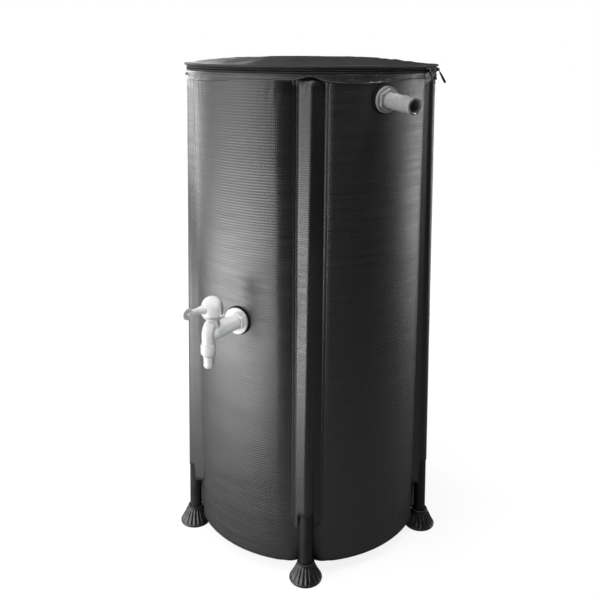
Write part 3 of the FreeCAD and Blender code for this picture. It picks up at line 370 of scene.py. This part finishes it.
def tank_skin():
    """The wall, as one skin: soft waves, puckers by the rim, flat at the welds and ports."""
    columns = 480
    low = np.linspace(WALL_LOW, 0.06, 12, endpoint=False)
    middle = np.linspace(0.06, 0.70, 96, endpoint=False)
    high = np.linspace(0.70, WALL_TOP, 34)
    z = np.concatenate([low, middle, high])[:, None]
    phi = np.arange(columns)[None, :] * 360.0 / columns
    radius = wall_r(phi, z)
    base = polar(phi, radius, z)
    soft = field(base, 0.22, 3.0) * 0.0010 + field(base * [1, 1, 2.2], 0.09, 8.0) * 0.0005
    edge = np.clip((z - WALL_LOW) / 0.05, 0, 1) * np.clip((WALL_TOP - 0.006 - z) / 0.04, 0, 1)
    across = np.radians(to_pole(phi)) * radius
    free = np.clip((np.abs(across) - WELD_HALF) / 0.02, 0, 1)
    ports = port_distance(phi, z)
    free = free * np.clip((ports - 0.024) / 0.02, 0, 1)
    pucker = np.sin(np.abs(across) * 520 + z * 60) * np.exp(-((z - 0.752) / 0.016) ** 2)
    pucker = pucker * np.exp(-(np.abs(across) - 0.03) / 0.02) * 0.0006
    radius = radius + (soft * edge + np.where(np.abs(across) > WELD_HALF, pucker, 0)) * free
    tuck = np.clip((WALL_LOW + 0.004 - z) / 0.004, 0, 1)
    radius = radius - 0.0022 * tuck ** 2
    uv = np.stack(np.broadcast_arrays(np.radians(phi) * WALL_R_MEAN, z), axis=-1)
    piece = grid_object("tank_skin", polar(phi, radius, z), uv, close_u=True)
    panels = ["wall_panel_%d" % (index + 1) for index in range(POLES)]
    finish_piece(piece, WALL, panels)


def port_distance(phi, z):
    """Distance along the wall from the nearer of the tap and the overflow."""
    distances = []
    for angle, level in (TAP, OVERFLOW):
        turn = (phi - angle + 180) % 360 - 180
        distances.append(np.hypot(np.radians(turn) * WALL_R_MEAN, z - level))
    return np.minimum(distances[0], distances[1])


# Sleeves

# Each sleeve hangs in its own way: how far its crest and its knee stand to one side at the
# bottom and at the top (a knee of None is rounded), where its cloth meets the wall at the
# left and the right, and the height of the cut-out
SLEEVES = [
    {"crest": (-0.0033, 0.0040), "knee": (-0.0165, -0.0135), "feet": (-0.0185, 0.0215),
     "cut": 0.1165},
    {"crest": (0.0, 0.0), "knee": None, "feet": (-0.0225, 0.0215), "cut": 0.130},
    {"crest": (0.001, -0.001), "knee": None, "feet": (-0.0215, 0.0215), "cut": 0.118},
    {"crest": (0.0, 0.001), "knee": None, "feet": (-0.0215, 0.0215), "cut": 0.120},
    {"crest": (0.0, 0.0), "knee": None, "feet": (-0.0215, 0.0290), "cut": 0.114},
]
SLEEVE_NEAR = 0.0103
WELD_WIDE = 0.0055


def line(start, end, steps):
    """Points on the way from one point to another, without the first."""
    return [(start[0] + (end[0] - start[0]) * k / steps,
             start[1] + (end[1] - start[1]) * k / steps) for k in range(1, steps + 1)]


def sleeve_section(z, drape):
    """Points across a sleeve at a height (outward from the pole, sideways)."""
    centre = float(pole_circle(z))
    share = (z - SLEEVE_LOW) / (SLEEVE_TOP - SLEEVE_LOW)
    crest = drape["crest"][0] + (drape["crest"][1] - drape["crest"][0]) * share

    def on_wall(side, off=0.0003):
        radius = float(wall_r(FIRST_POLE + math.degrees(side / float(wall_radius(z))), z)) + off
        turn = side / float(wall_radius(z))
        return (radius * math.cos(turn) - centre, radius * math.sin(turn))

    left, right = drape["feet"]
    points = [on_wall(left - WELD_WIDE + WELD_WIDE * k / 5, lift)
              for k, lift in enumerate((-0.0009, -0.0004, 0.0, 0.0002, 0.0003, 0.0003))]
    if drape["knee"]:
        knee = drape["knee"][0] + (drape["knee"][1] - drape["knee"][0]) * share
        slope = math.radians(34 - 9 * share)

        def facet(side):
            return ((SLEEVE_NEAR + 0.0004 + side * math.sin(slope)) / math.cos(slope), side)

        cloth = line(points[-1], facet(knee), 5) + line(facet(knee), facet(crest), 12)
        turns = 2
    else:
        cloth = line(points[-1], (SLEEVE_NEAR, crest), 17)
        turns = 4
    cloth += line(cloth[-1], on_wall(right), 17)
    for _ in range(turns):
        cloth = clear_of_pole(cloth)
        inside = [((a[0] + 2 * b[0] + c[0]) / 4, (a[1] + 2 * b[1] + c[1]) / 4)
                  for a, b, c in zip(cloth, cloth[1:], cloth[2:])]
        cloth = [cloth[0]] + inside + [cloth[-1]]
    cloth = clear_of_pole(cloth)
    points += cloth
    points += [on_wall(right + WELD_WIDE * k / 5, lift)
               for k, lift in enumerate((0.0003, 0.0002, 0.0, -0.0004, -0.0009), 1)]
    return points


def clear_of_pole(points):
    """Push points that lie inside the pole out to its surface."""
    cleared = []
    for x, y in points:
        reach = math.hypot(x, y)
        if reach < SLEEVE_NEAR and x > -0.004:
            x, y = x * SLEEVE_NEAR / reach, y * SLEEVE_NEAR / reach
        cleared.append((x, y))
    return cleared


def sleeve(index):
    """A sleeve over one pole, welded at both sides and cut out at its foot."""
    drape = SLEEVES[index]
    rows = 150
    turn = math.radians(FIRST_POLE + index * 360.0 / POLES)
    outward = np.array([math.sin(turn), -math.cos(turn), 0])
    side = np.array([math.cos(turn), math.sin(turn), 0])
    template = sleeve_section(0.4, drape)
    flat = [0.0]
    for a, b in zip(template, template[1:]):
        flat.append(flat[-1] + math.hypot(b[0] - a[0], b[1] - a[1]))
    flat = np.array(flat)
    sideways = np.array([point[1] for point in template])
    notch = np.abs(sideways) < NOTCH_HALF
    left, right = drape["feet"]
    over = np.maximum(np.maximum(left - sideways, sideways - right), 0) / WELD_WIDE
    start = np.where(notch, drape["cut"], SLEEVE_LOW + 0.002 + 0.022 * over)
    start = start + np.where(notch, 0, 0.004 * (np.abs(sideways) - NOTCH_HALF) / 0.01)
    heights = np.linspace(0, 1, rows) ** 0.92
    levels = start[None, :] + heights[:, None] * (SLEEVE_TOP - start[None, :])
    known = np.linspace(SLEEVE_LOW - 0.004, SLEEVE_TOP, 90)
    sections = np.array([[(x + float(pole_circle(z)), y) for x, y in sleeve_section(z, drape)]
                         for z in known])
    grid = np.zeros(levels.shape + (3,))
    for column in range(len(template)):
        x = np.interp(levels[:, column], known, sections[:, column, 0])
        y = np.interp(levels[:, column], known, sections[:, column, 1])
        grid[:, column] = x[:, None] * outward + y[:, None] * side
    grid[..., 2] = levels
    middle = np.clip(1.25 - np.abs(sideways) / 0.018, 0, 1)[None, :]
    ripple = np.abs(field(grid * [1, 1, 0.3], 0.04, 11.0 + index)) * 0.0003
    crumple = np.clip((levels - 0.738) / 0.03, 0, 1) ** 2
    ripple = ripple + np.abs(field(grid, 0.012, 30.0 + index)) * 0.0038 * crumple
    crease = np.exp(-((levels - 0.392) / 0.009) ** 2) * (1 if index == 0 else 0.3)
    ripple = ripple + np.abs(field(grid * [1, 1, 7], 0.02, 50.0 + index)) * 0.0014 * crease
    grid = grid + outward * (ripple * middle)[..., None]
    tuck = np.clip((levels - 0.762) / (SLEEVE_TOP - 0.762), 0, 1) ** 2 * middle
    grid = grid - outward * (tuck * 0.005)[..., None]
    uv = np.stack([np.broadcast_to(flat[None, :], levels.shape), levels], axis=-1)
    piece = grid_object("sleeve_cloth_%d" % (index + 1), grid, uv)
    thicken(piece, 0.0005, 1.0)
    finish_piece(piece, SLEEVE, ["sleeve_%d" % (index + 1)])


# Rim, zip and lid

def ring_piece(name, profile, columns, material, replaced, shape=None):
    """Sweep a closed profile of (radius, height) corners round the tank."""
    corners = list(profile) + [profile[0]]
    radius = np.array([corner[0] for corner in corners])[:, None]
    z = np.array([corner[1] for corner in corners])[:, None]
    phi = np.arange(columns)[None, :] * 360.0 / columns
    radius, z, phi = np.broadcast_arrays(radius, z, phi)
    if shape is not None:
        radius, z = shape(phi, radius.copy(), z.copy())
    along = np.cumsum([0] + [math.hypot(b[0] - a[0], b[1] - a[1])
                             for a, b in zip(corners, corners[1:])])
    uv = np.stack(np.broadcast_arrays(np.radians(phi) * BAND_R, along[:, None]), axis=-1)
    piece = grid_object(name, polar(phi, radius, z), uv, close_u=True)
    return finish_piece(piece, material, replaced)


def rim_band():
    """The doubled hem, which dips over each pole."""
    def shape(phi, radius, z):
        across = np.radians(to_pole(phi)) * WALL_R_TOP
        over = np.exp(-(across / 0.016) ** 2)
        side = np.sin(np.radians(to_pole(phi) * POLES))
        round_tank = polar(phi, radius * 0 + WALL_R_TOP, z * 0)
        sag = field(round_tank, 0.06, 4.0)
        drop = 0.0012 + 0.0026 * side * (1 - over) - 0.0062 * over + sag * 0.0009
        low = np.clip((0.7745 - z) / 0.0050, 0, 1)
        z = z - drop * low
        front = np.clip((radius - 0.1925) / 0.0005, 0, 1) * np.clip((0.7762 - z) / 0.002, 0, 1)
        puff = field(polar(phi, radius * 0 + WALL_R_TOP, z * 3), 0.014, 14.0)
        radius = radius + front * (0.0008 * puff + 0.0010 * over * (0.6 + low))
        for angle in SEAM_ANGLES:
            ridge = np.exp(-(np.radians(phi - angle) * BAND_R / 0.0009) ** 2)
            radius = radius + 0.0008 * ridge * front
        return radius, z

    profile = [
        (0.19215, 0.7692), (0.1924, 0.7686), (0.1930, 0.7683), (0.1937, 0.7685),
        (0.1940, 0.7692), (0.1938, 0.7700), (0.1932, 0.7707), (0.1930, 0.7718),
        (0.1931, 0.7732), (0.1933, 0.7744), (0.1930, 0.7753), (0.1931, 0.7761),
        (0.1930, 0.7768), (0.1926, 0.7772), (0.19215, 0.7772),
    ]
    piece = ring_piece("band_cloth_ring", profile, 1200, BAND, ["rim_band"], shape)


def stitches():
    """Short stitches in a row round the band."""
    pitch = 0.0032
    count = int(2 * math.pi * STITCH_R / pitch)
    vertices = []
    faces = []
    for index in range(count):
        middle = index * 360.0 / count
        first = len(vertices)
        for share, thick in ((-0.5, 0.15), (-0.3, 1.0), (0.3, 1.0), (0.5, 0.15)):
            phi = middle + share * 0.72 * 360.0 / count
            for k in range(6):
                turn = 2 * math.pi * k / 6
                radius = STITCH_R + 0.00035 * thick * math.cos(turn)
                level = STITCH_Z + 0.00030 * thick * math.sin(turn)
                vertices.append(polar(phi, radius, level).tolist())
        for ring in range(3):
            for k in range(6):
                a = first + ring * 6 + k
                b = first + ring * 6 + (k + 1) % 6
                faces.append((a, b, b + 6, a + 6))
    piece = mesh_object("band_stitches", vertices, faces)
    return finish_piece(piece, THREAD)


def zip_row(name, low, high, node, up):
    """A row of zip coils: small rounded teeth that lean towards the other row."""
    pitch = 0.0016
    count = int(2 * math.pi * ROW_R[1] / pitch)
    steps = 5
    columns = count * steps
    phase = np.arange(columns)[None, :] * 2 * math.pi / steps
    wide = 0.5 + 0.5 * np.cos(phase)

    def shape(phi, radius, z):
        full = radius > ROW_R[0] + 0.0004
        radius = np.where(full, radius - 0.0006 * (1 - wide), radius)
        inner = z > (low + high) / 2 if up else z < (low + high) / 2
        shrink = 0.0005 * (1 - wide) * (-1 if up else 1)
        return radius, np.where(inner, z + shrink, z)

    profile = [
        (ROW_R[0], low), (ROW_R[1] - 0.0005, low), (ROW_R[1], low + 0.0005),
        (ROW_R[1], high - 0.0005), (ROW_R[1] - 0.0005, high), (ROW_R[0], high),
    ]
    return ring_piece(name, profile, columns, COIL, [node], shape)


def lid_binding():
    """The rolled edge of the lid."""
    profile = []
    for step in range(14):
        turn = 2 * math.pi * step / 14 - math.pi / 2
        profile.append((0.1936 + 0.0024 * math.cos(turn), 0.7862 + 0.0017 * math.sin(turn)))

    def shape(phi, radius, z):
        rise = field(polar(phi, radius * 0 + WALL_R_TOP, z * 0), 0.11, 21.0)
        twist = field(polar(phi, radius * 0 + WALL_R_TOP, z * 0), 0.018, 25.0)
        z = z + 0.0006 * (0.5 + rise) + 0.0002 * twist
        return radius + 0.0003 * twist * (radius > 0.193), z

    return ring_piece("binding_roll", profile, 720, TAPE, ["lid_binding"], shape)


def lid_height(radius):
    """Height of the domed lid before its folds."""
    return LID_HIGH + LID_DOME * (1 - (radius / WALL_R_TOP) ** 2)


def lid_skin():
    """The lid's cloth round the strainer's window, with folds and slack rings."""
    columns = 400
    phi = np.arange(columns)[None, :] * 360.0 / columns
    inner = np.linspace(WINDOW_R, WALL_R_TOP - 0.002, 84)
    corner = np.array([WALL_R_TOP - 0.001, WALL_R_TOP - 0.0003, WALL_R_TOP])
    drop = np.full(3, WALL_R_TOP)
    radius = np.concatenate([inner, corner, drop])[:, None]
    z = lid_height(radius)
    z[-6:, 0] = [LID_HIGH, LID_HIGH - 0.0003, LID_HIGH - 0.0009,
                 LID_HIGH - 0.0018, LID_HIGH - 0.0027, LID_LOW]
    z = np.broadcast_to(z, (len(radius), columns)).copy()
    flat = polar(phi, radius, z * 0)
    free = np.clip((radius - WINDOW_R - 0.008) / 0.02, 0, 1)
    free = free * np.clip((WALL_R_TOP - 0.004 - radius) / 0.02, 0, 1)
    slack = np.clip((radius - 0.09) / 0.06, 0, 1)
    z = z + field(flat, 0.10, 2.0) * 0.0030 * free
    z = z + field(flat, 0.035, 5.0) * 0.0014 * free
    folds = np.sin(np.radians(phi) * 23 + field(flat, 0.08, 9.0) * 3)
    z = z + folds * 0.0006 * free * slack
    drift = field(flat, 0.07, 6.0)
    rings = np.sin(2 * np.pi * (radius + 0.012 * drift) / 0.019)
    z = z + rings * np.clip(drift + 0.25, 0, 1) * 0.0016 * free * slack
    uv = flat[..., :2].copy()
    piece = grid_object("lid_cloth_top", polar(phi, radius, z), uv, close_u=True)
    piece.data.uv_layers[0].data.foreach_set("uv", seamless_uv(piece))
    thicken(piece, 0.0009, -1.0)
    finish_piece(piece, LID, ["lid_panel"])


def seamless_uv(piece):
    """Lay the UV map flat in X and Y, with no seam."""
    mesh = piece.data
    where = np.zeros(len(mesh.vertices) * 3)
    mesh.vertices.foreach_get("co", where)
    corner = np.zeros(len(mesh.loops), dtype=np.int64)
    mesh.loops.foreach_get("vertex_index", corner)
    return where.reshape(-1, 3)[corner, :2].reshape(-1)


def strainer_binding():
    """The binding round the strainer's window."""
    def shape(phi, radius, z):
        soft = field(polar(phi, radius, z * 0), 0.012, 40.0) * 0.0002
        return radius, lid_height(radius) + z + soft * (z > 0.0003)

    profile = [(WINDOW_R, 0.0), (WINDOW_R, 0.0007), (WINDOW_R + 0.0006, 0.0011),
               (WINDOW_R + 0.0030, 0.0012), (WINDOW_R + 0.0060, 0.0011),
               (WINDOW_R + 0.0078, 0.0007), (WINDOW_R + 0.0080, 0.0001),
               (WINDOW_R + 0.0040, -0.0001)]
    return ring_piece("window_binding", profile, 300, TAPE, ["strainer_ring"],
                      shape)


def strainer():
    """A woven strainer: two sets of threads that pass over and under each other."""
    pitch = 0.0031
    reach = WINDOW_R + 0.007
    thick = 0.00045
    count = int(reach / pitch)
    vertices = []
    faces = []
    for way in (0, 1):
        for strand in range(-count, count + 1):
            offset = strand * pitch
            half = math.sqrt(max(reach ** 2 - offset ** 2, 0))
            steps = max(int(2 * half / pitch), 1) * 2
            first = len(vertices)
            for step in range(steps + 1):
                along = -half + 2 * half * step / steps
                x, y = (along, offset) if way == 0 else (offset, along)
                cell = math.cos(math.pi * along / pitch) * (1 if (strand + way) % 2 else -1)
                z = float(lid_height(math.hypot(x, y))) - 0.0019 + cell * 0.0003
                for k in range(4):
                    turn = math.pi / 2 * k + math.pi / 4
                    side = thick * math.cos(turn)
                    up = thick * math.sin(turn)
                    if way == 0:
                        vertices.append((x, y + side, z + up))
                    else:
                        vertices.append((x + side, y, z + up))
            for step in range(steps):
                for k in range(4):
                    a = first + step * 4 + k
                    b = first + step * 4 + (k + 1) % 4
                    faces.append((a, b, b + 4, a + 4))
    piece = mesh_object("strainer_weave", vertices, faces)
    return finish_piece(piece, COIL, ["strainer_mesh"])


# Feet

def foot(index):
    """A rubber bell with ribs that stop above a smooth lip."""
    profile = [
        (0.0100, 0.0012, 0), (0.0180, 0.0006, 0), (0.0248, 0.0, 0), (0.0257, 0.0004, 0),
        (0.0262, 0.0012, 0), (0.0262, 0.0026, 0), (0.0258, 0.0035, 0), (0.0250, 0.0040, 0.1),
        (0.0243, 0.0046, 0.6), (0.0236, 0.0060, 1), (0.0226, 0.0078, 1), (0.0213, 0.0100, 1),
        (0.0200, 0.0124, 1), (0.0188, 0.0148, 1), (0.0176, 0.0174, 1), (0.0165, 0.0200, 1),
        (0.0155, 0.0226, 0.9), (0.0147, 0.0250, 0.7), (0.0141, 0.0268, 0.3),
        (0.0137, 0.0276, 0), (0.0136, 0.0282, 0), (0.0139, 0.0287, 0), (0.0139, 0.0303, 0),
        (0.0136, 0.0309, 0), (0.0130, 0.0312, 0), (0.01005, 0.0312, 0), (0.01005, 0.0290, 0),
    ]
    columns = 240
    turn = np.arange(columns)[None, :] * 2 * math.pi / columns
    radius = np.array([corner[0] for corner in profile])[:, None]
    z = np.array([corner[1] for corner in profile])[:, None]
    rib = np.array([corner[2] for corner in profile])[:, None]
    wave_round = (0.5 + 0.5 * np.cos(turn * 20)) ** 1.6
    radius = radius + 0.0016 * rib * (wave_round - 0.35)
    phi = math.radians(FIRST_POLE + index * 360.0 / POLES)
    lean = (POLE_R_TOP - POLE_R_FLOOR) / GROOVE_END * z
    centre = POLE_R_FLOOR + lean * np.clip((z - 0.02) / 0.01, 0, 1)
    x = centre * math.sin(phi) + radius * np.cos(turn)
    y = -centre * math.cos(phi) + radius * np.sin(turn)
    points = np.stack(np.broadcast_arrays(x, y, z), axis=-1)
    uv = np.stack(np.broadcast_arrays(turn * 0.02, z), axis=-1)
    piece = grid_object("foot_moulding_%d" % (index + 1), points, uv, close_u=True)
    return finish_piece(piece, RUBBER, ["foot_%d" % (index + 1)])


# CAD pieces that keep their shape

def dress(names, material, width):
    """Give CAD nodes a material, welded corners and a small round on their edges, if any."""
    for name in names:
        node = nodes[name]
        node.data.materials.clear()
        node.data.materials.append(material)
        weld_corners(node)
        if width:
            edge = node.modifiers.new("edges", "BEVEL")
            edge.width = width
            edge.segments = 2
            edge.limit_method = "ANGLE"
            edge.angle_limit = math.radians(EDGE_ANGLE)
            edge.use_clamp_overlap = True
            flat = node.modifiers.new("flat_faces", "WEIGHTED_NORMAL")
            flat.weight = 80
        node.data.polygons.foreach_set("use_smooth", [True] * len(node.data.polygons))


def handle():
    """Remesh the tap's handle finely and relax it, so that its joins blend as in a moulding."""
    mesh = nodes["tap_handle"].data.copy()
    piece = bpy.data.objects.new("handle_moulding", mesh)
    scene.collection.objects.link(piece)
    mesh.materials.clear()
    weld_corners(piece)
    remesh = piece.modifiers.new("remesh", "REMESH")
    remesh.mode = "VOXEL"
    remesh.voxel_size = 0.0005
    relax = piece.modifiers.new("relax", "SMOOTH")
    relax.factor = 0.5
    relax.iterations = 8
    graph = bpy.context.evaluated_depsgraph_get()
    made = bpy.data.meshes.new_from_object(piece.evaluated_get(graph))
    piece.modifiers.clear()
    piece.data = made
    made.polygons.foreach_set("use_smooth", [True] * len(made.polygons))
    return finish_piece(piece, WHITE, ["tap_handle"], "tap_handle")


# Zip pulls

def pull_frame(phi, lean):
    """Axes of a hanging pull: its hinge, the way down it, along its pin and out of its face."""
    turn = math.radians(phi)
    out = Vector((math.sin(turn), -math.cos(turn), 0))
    pin = Vector((math.cos(turn), math.sin(turn), 0))
    slope = math.radians(lean)
    down = out * math.sin(slope) - Vector((0, 0, 1)) * math.cos(slope)
    return out * HINGE_R + Vector((0, 0, HINGE_Z)), down, pin, down.cross(pin)


def loft(name, sections):
    """Join closed sections of points, in turn, and close both ends."""
    count = len(sections[0])
    vertices = [tuple(point) for section in sections for point in section]
    faces = []
    for ring in range(len(sections) - 1):
        for k in range(count):
            a = ring * count + k
            b = ring * count + (k + 1) % count
            faces.append((a, b, b + count, a + count))
    faces.append(tuple(reversed(range(count))))
    faces.append(tuple(range(len(vertices) - count, len(vertices))))
    return mesh_object(name, vertices, faces)


def grip_pull():
    """A moulded grip on the first slider's pull, thicker towards its end."""
    hinge, down, pin, face = pull_frame(*PULL_A)
    sections = []
    for along, wide, thick in ((0.0046, 0.0016, 0.0007), (0.0050, 0.0021, 0.0012),
                               (0.0075, 0.0022, 0.0014), (0.0120, 0.0023, 0.0016),
                               (0.0170, 0.0024, 0.0018), (0.0205, 0.0023, 0.0018),
                               (0.0222, 0.0019, 0.0014), (0.0228, 0.0010, 0.0007)):
        section = []
        for k in range(16):
            turn = 2 * math.pi * k / 16
            corner = max(abs(math.cos(turn)), abs(math.sin(turn))) ** 0.6
            section.append(hinge + down * along + pin * (wide * math.cos(turn) / corner)
                           + face * (thick * math.sin(turn) / corner))
        sections.append(section)
    return finish_piece(loft("pull_grip", sections), METAL, (), "zip_pull_a")


def wire_pull():
    """A wire loop through the end of the second slider's pull."""
    hinge, down, pin, face = pull_frame(*PULL_B)
    count = 40
    wire = 0.0007
    sections = []
    for k in range(count):
        turn = 2 * math.pi * k / count
        long = 0.0048 + 0.0010 * max(math.cos(turn), 0)
        spot = hinge + down * (0.0148 + long * math.cos(turn)) + pin * 0.0040 * math.sin(turn)
        ahead = (down * -math.sin(turn) * long + pin * 0.0040 * math.cos(turn)).normalized()
        side = ahead.cross(face)
        sections.append([spot + (side * math.cos(a) + face * math.sin(a)) * wire
                         for a in [2 * math.pi * j / 8 for j in range(8)]])
    points = np.array([[tuple(point) for point in section] for section in sections])
    uv = np.zeros(points.shape[:2] + (2,))
    points = np.concatenate([points, points[:1]])
    uv = np.concatenate([uv, uv[:1]])
    piece = grid_object("pull_loop", points, uv, close_u=True)
    weld_corners(piece)
    return finish_piece(piece, WIRE, (), "zip_pull_b")


tank_skin()
for pole in range(POLES):
    sleeve(pole)
    foot(pole)
rim_band()
stitches()
zip_row("coil_row_lower", ROW_LOWER[0], ROW_LOWER[1], "zip_row_lower", True)
zip_row("coil_row_upper", ROW_UPPER[0], ROW_UPPER[1], "zip_row_upper", False)
lid_binding()
lid_skin()
strainer_binding()
strainer()
handle()
grip_pull()
wire_pull()

numbers = range(1, POLES + 1)
dress(["tank_floor"], WALL, 0)
dress(["zip_tape_lower", "zip_tape_upper"], TAPE, 0)
dress(["pole_%d" % number for number in numbers], PIPE, 0.0003)
dress(["tap_body"], WHITE, 0.0006)
dress(["valve_ball", "union_nut", "hose_tail", "tap_lock_nut", "ball_seats"], WHITE, 0.0003)
dress(["overflow_body"], GREY, 0.0006)
dress(["retaining_ring"], GREY_RING, 0.0004)
dress(["overflow_lock_nut"], GREY, 0.0005)
dress(["tap_gasket", "tap_inner_gasket", "overflow_gasket", "overflow_inner_gasket",
       "stem_seal", "union_washer"], SEAL, 0)
dress(["zip_slider_a", "zip_slider_b", "zip_pull_a", "zip_pull_b"], METAL, 0.0002)


# Camera

def camera_at(azimuth, distance, height, pitch, roll, lens, shift):
    """Put the camera at an angle from the tap, looking down by the pitch, in radians."""
    data = bpy.data.cameras.new("camera")
    data.lens = lens
    data.sensor_width = 36
    data.shift_x, data.shift_y = shift
    holder = bpy.data.objects.new("camera", data)
    turn = math.radians(azimuth)
    place = Vector((distance * math.sin(turn), -distance * math.cos(turn), height))
    level = Euler((math.pi / 2 - pitch, 0, turn)).to_matrix().to_4x4()
    holder.matrix_world = Matrix.Translation(place) @ level @ Matrix.Rotation(roll, 4, "Z")
    scene.collection.objects.link(holder)
    scene.camera = holder


camera_at(azimuth=CAMERA_AZIMUTH, distance=1.1687, height=0.8086, pitch=0.2975, roll=0.0081,
          lens=43.22, shift=(-0.0162, -0.05))


# Floor, world and lamps

def background_rays(tree):
    """1 for the rays that see the white background, 0 for those that light the object."""
    path = tree.nodes.new("ShaderNodeLightPath")
    return math_node(tree, "MAXIMUM", path.outputs["Is Camera Ray"],
                     path.outputs["Is Transmission Ray"])


def stage_floor():
    """White paper that keeps the object's shadow: its glow is a little weaker near the object."""
    size = 12.0
    mesh = bpy.data.meshes.new("studio_floor")
    corners = [(-size, -size, 0), (size, -size, 0), (size, size, 0), (-size, size, 0)]
    mesh.from_pydata(corners, [], [(0, 1, 2, 3)])
    floor = bpy.data.objects.new("studio_floor", mesh)
    scene.collection.objects.link(floor)
    material = bpy.data.materials.new("floor_paper")
    material.use_nodes = True
    tree = material.node_tree
    tree.nodes.clear()
    output = tree.nodes.new("ShaderNodeOutputMaterial")
    paper = tree.nodes.new("ShaderNodeBsdfDiffuse")
    paper.inputs["Color"].default_value = (0.22, 0.22, 0.22, 1)
    glow = tree.nodes.new("ShaderNodeEmission")
    glow.inputs["Color"].default_value = (1, 1, 1, 1)
    away = tree.nodes.new("ShaderNodeVectorMath")
    away.operation = "LENGTH"
    tree.links.new(coordinates(tree, "Object"), away.inputs[0])
    fade = tree.nodes.new("ShaderNodeMapRange")
    fade.inputs["From Min"].default_value = FLOOR_NEAR
    fade.inputs["From Max"].default_value = FLOOR_FAR
    fade.inputs["To Min"].default_value = FLOOR_GLOW
    fade.inputs["To Max"].default_value = 1.0
    tree.links.new(away.outputs["Value"], fade.inputs["Value"])
    seen = math_node(tree, "MULTIPLY", background_rays(tree), fade.outputs["Result"])
    tree.links.new(seen, glow.inputs["Strength"])
    both = tree.nodes.new("ShaderNodeAddShader")
    tree.links.new(paper.outputs["BSDF"], both.inputs[0])
    tree.links.new(glow.outputs["Emission"], both.inputs[1])
    tree.links.new(both.outputs["Shader"], output.inputs["Surface"])
    mesh.materials.append(material)


def stage_world():
    """A dim world that is white to the rays that see the background."""
    world = bpy.data.worlds.new("studio")
    scene.world = world
    world.use_nodes = True
    tree = world.node_tree
    tree.nodes.clear()
    output = tree.nodes.new("ShaderNodeOutputWorld")
    plain = tree.nodes.new("ShaderNodeBackground")
    plain.inputs["Color"].default_value = (1, 1, 1, 1)
    plain.inputs["Strength"].default_value = 0.05
    white = tree.nodes.new("ShaderNodeBackground")
    white.inputs["Color"].default_value = (1, 1, 1, 1)
    white.inputs["Strength"].default_value = 1.0
    mix = tree.nodes.new("ShaderNodeMixShader")
    tree.links.new(background_rays(tree), mix.inputs["Fac"])
    tree.links.new(plain.outputs["Background"], mix.inputs[1])
    tree.links.new(white.outputs["Background"], mix.inputs[2])
    tree.links.new(mix.outputs["Shader"], output.inputs["Surface"])


def lamp(name, side, distance, height, width, tall, power, aim, spread=180):
    """A soft panel of light at an angle from the camera's side of the object."""
    data = bpy.data.lights.new(name, "AREA")
    data.shape = "RECTANGLE"
    data.size = width
    data.size_y = tall
    data.energy = power
    data.spread = math.radians(spread)
    holder = bpy.data.objects.new(name, data)
    turn = math.radians(CAMERA_AZIMUTH + side)
    place = Vector((distance * math.sin(turn), -distance * math.cos(turn), height))
    holder.location = place
    holder.rotation_euler = (Vector(aim) - place).to_track_quat("-Z", "Y").to_euler()
    holder.visible_camera = False
    scene.collection.objects.link(holder)


stage_floor()
stage_world()
lamp("key_panel", -72, 1.6, 0.85, 2.0, 1.5, 13, (0, 0, 0.45))
lamp("key_strip", -128, 1.4, 0.85, 0.30, 1.2, 9, (0, 0, 0.5))
lamp("low_panel", -64, 1.05, 0.12, 1.4, 0.4, 12, (0, 0, 0.15))
lamp("rim_panel", 108, 1.6, 0.45, 0.6, 1.7, 11, (0, 0, 0.4))
lamp("back_panel", -150, 2.2, 1.2, 1.6, 0.7, 15, (0, 0, 0.75))
lamp("front_fill", -56, 1.5, 2.2, 0.8, 0.8, 9, (0, 0, 0.5))
lamp("right_fill", 44, 1.5, 2.5, 0.7, 0.7, 4, (0, 0, 0.6))
lamp("top_fill", 10, 0.35, 2.6, 0.8, 0.8, 19, (0, 0, 0.5))
lamp("tap_fill", 44, 1.4, 1.3, 0.08, 0.08, 0.02, (0, -0.24, 0.425), 7)
lamp("overflow_fill", 56, 1.1, 2.0, 0.1, 0.1, 0.02, (0.2, -0.1, 0.745), 7)

scene.view_settings.view_transform = "Standard"
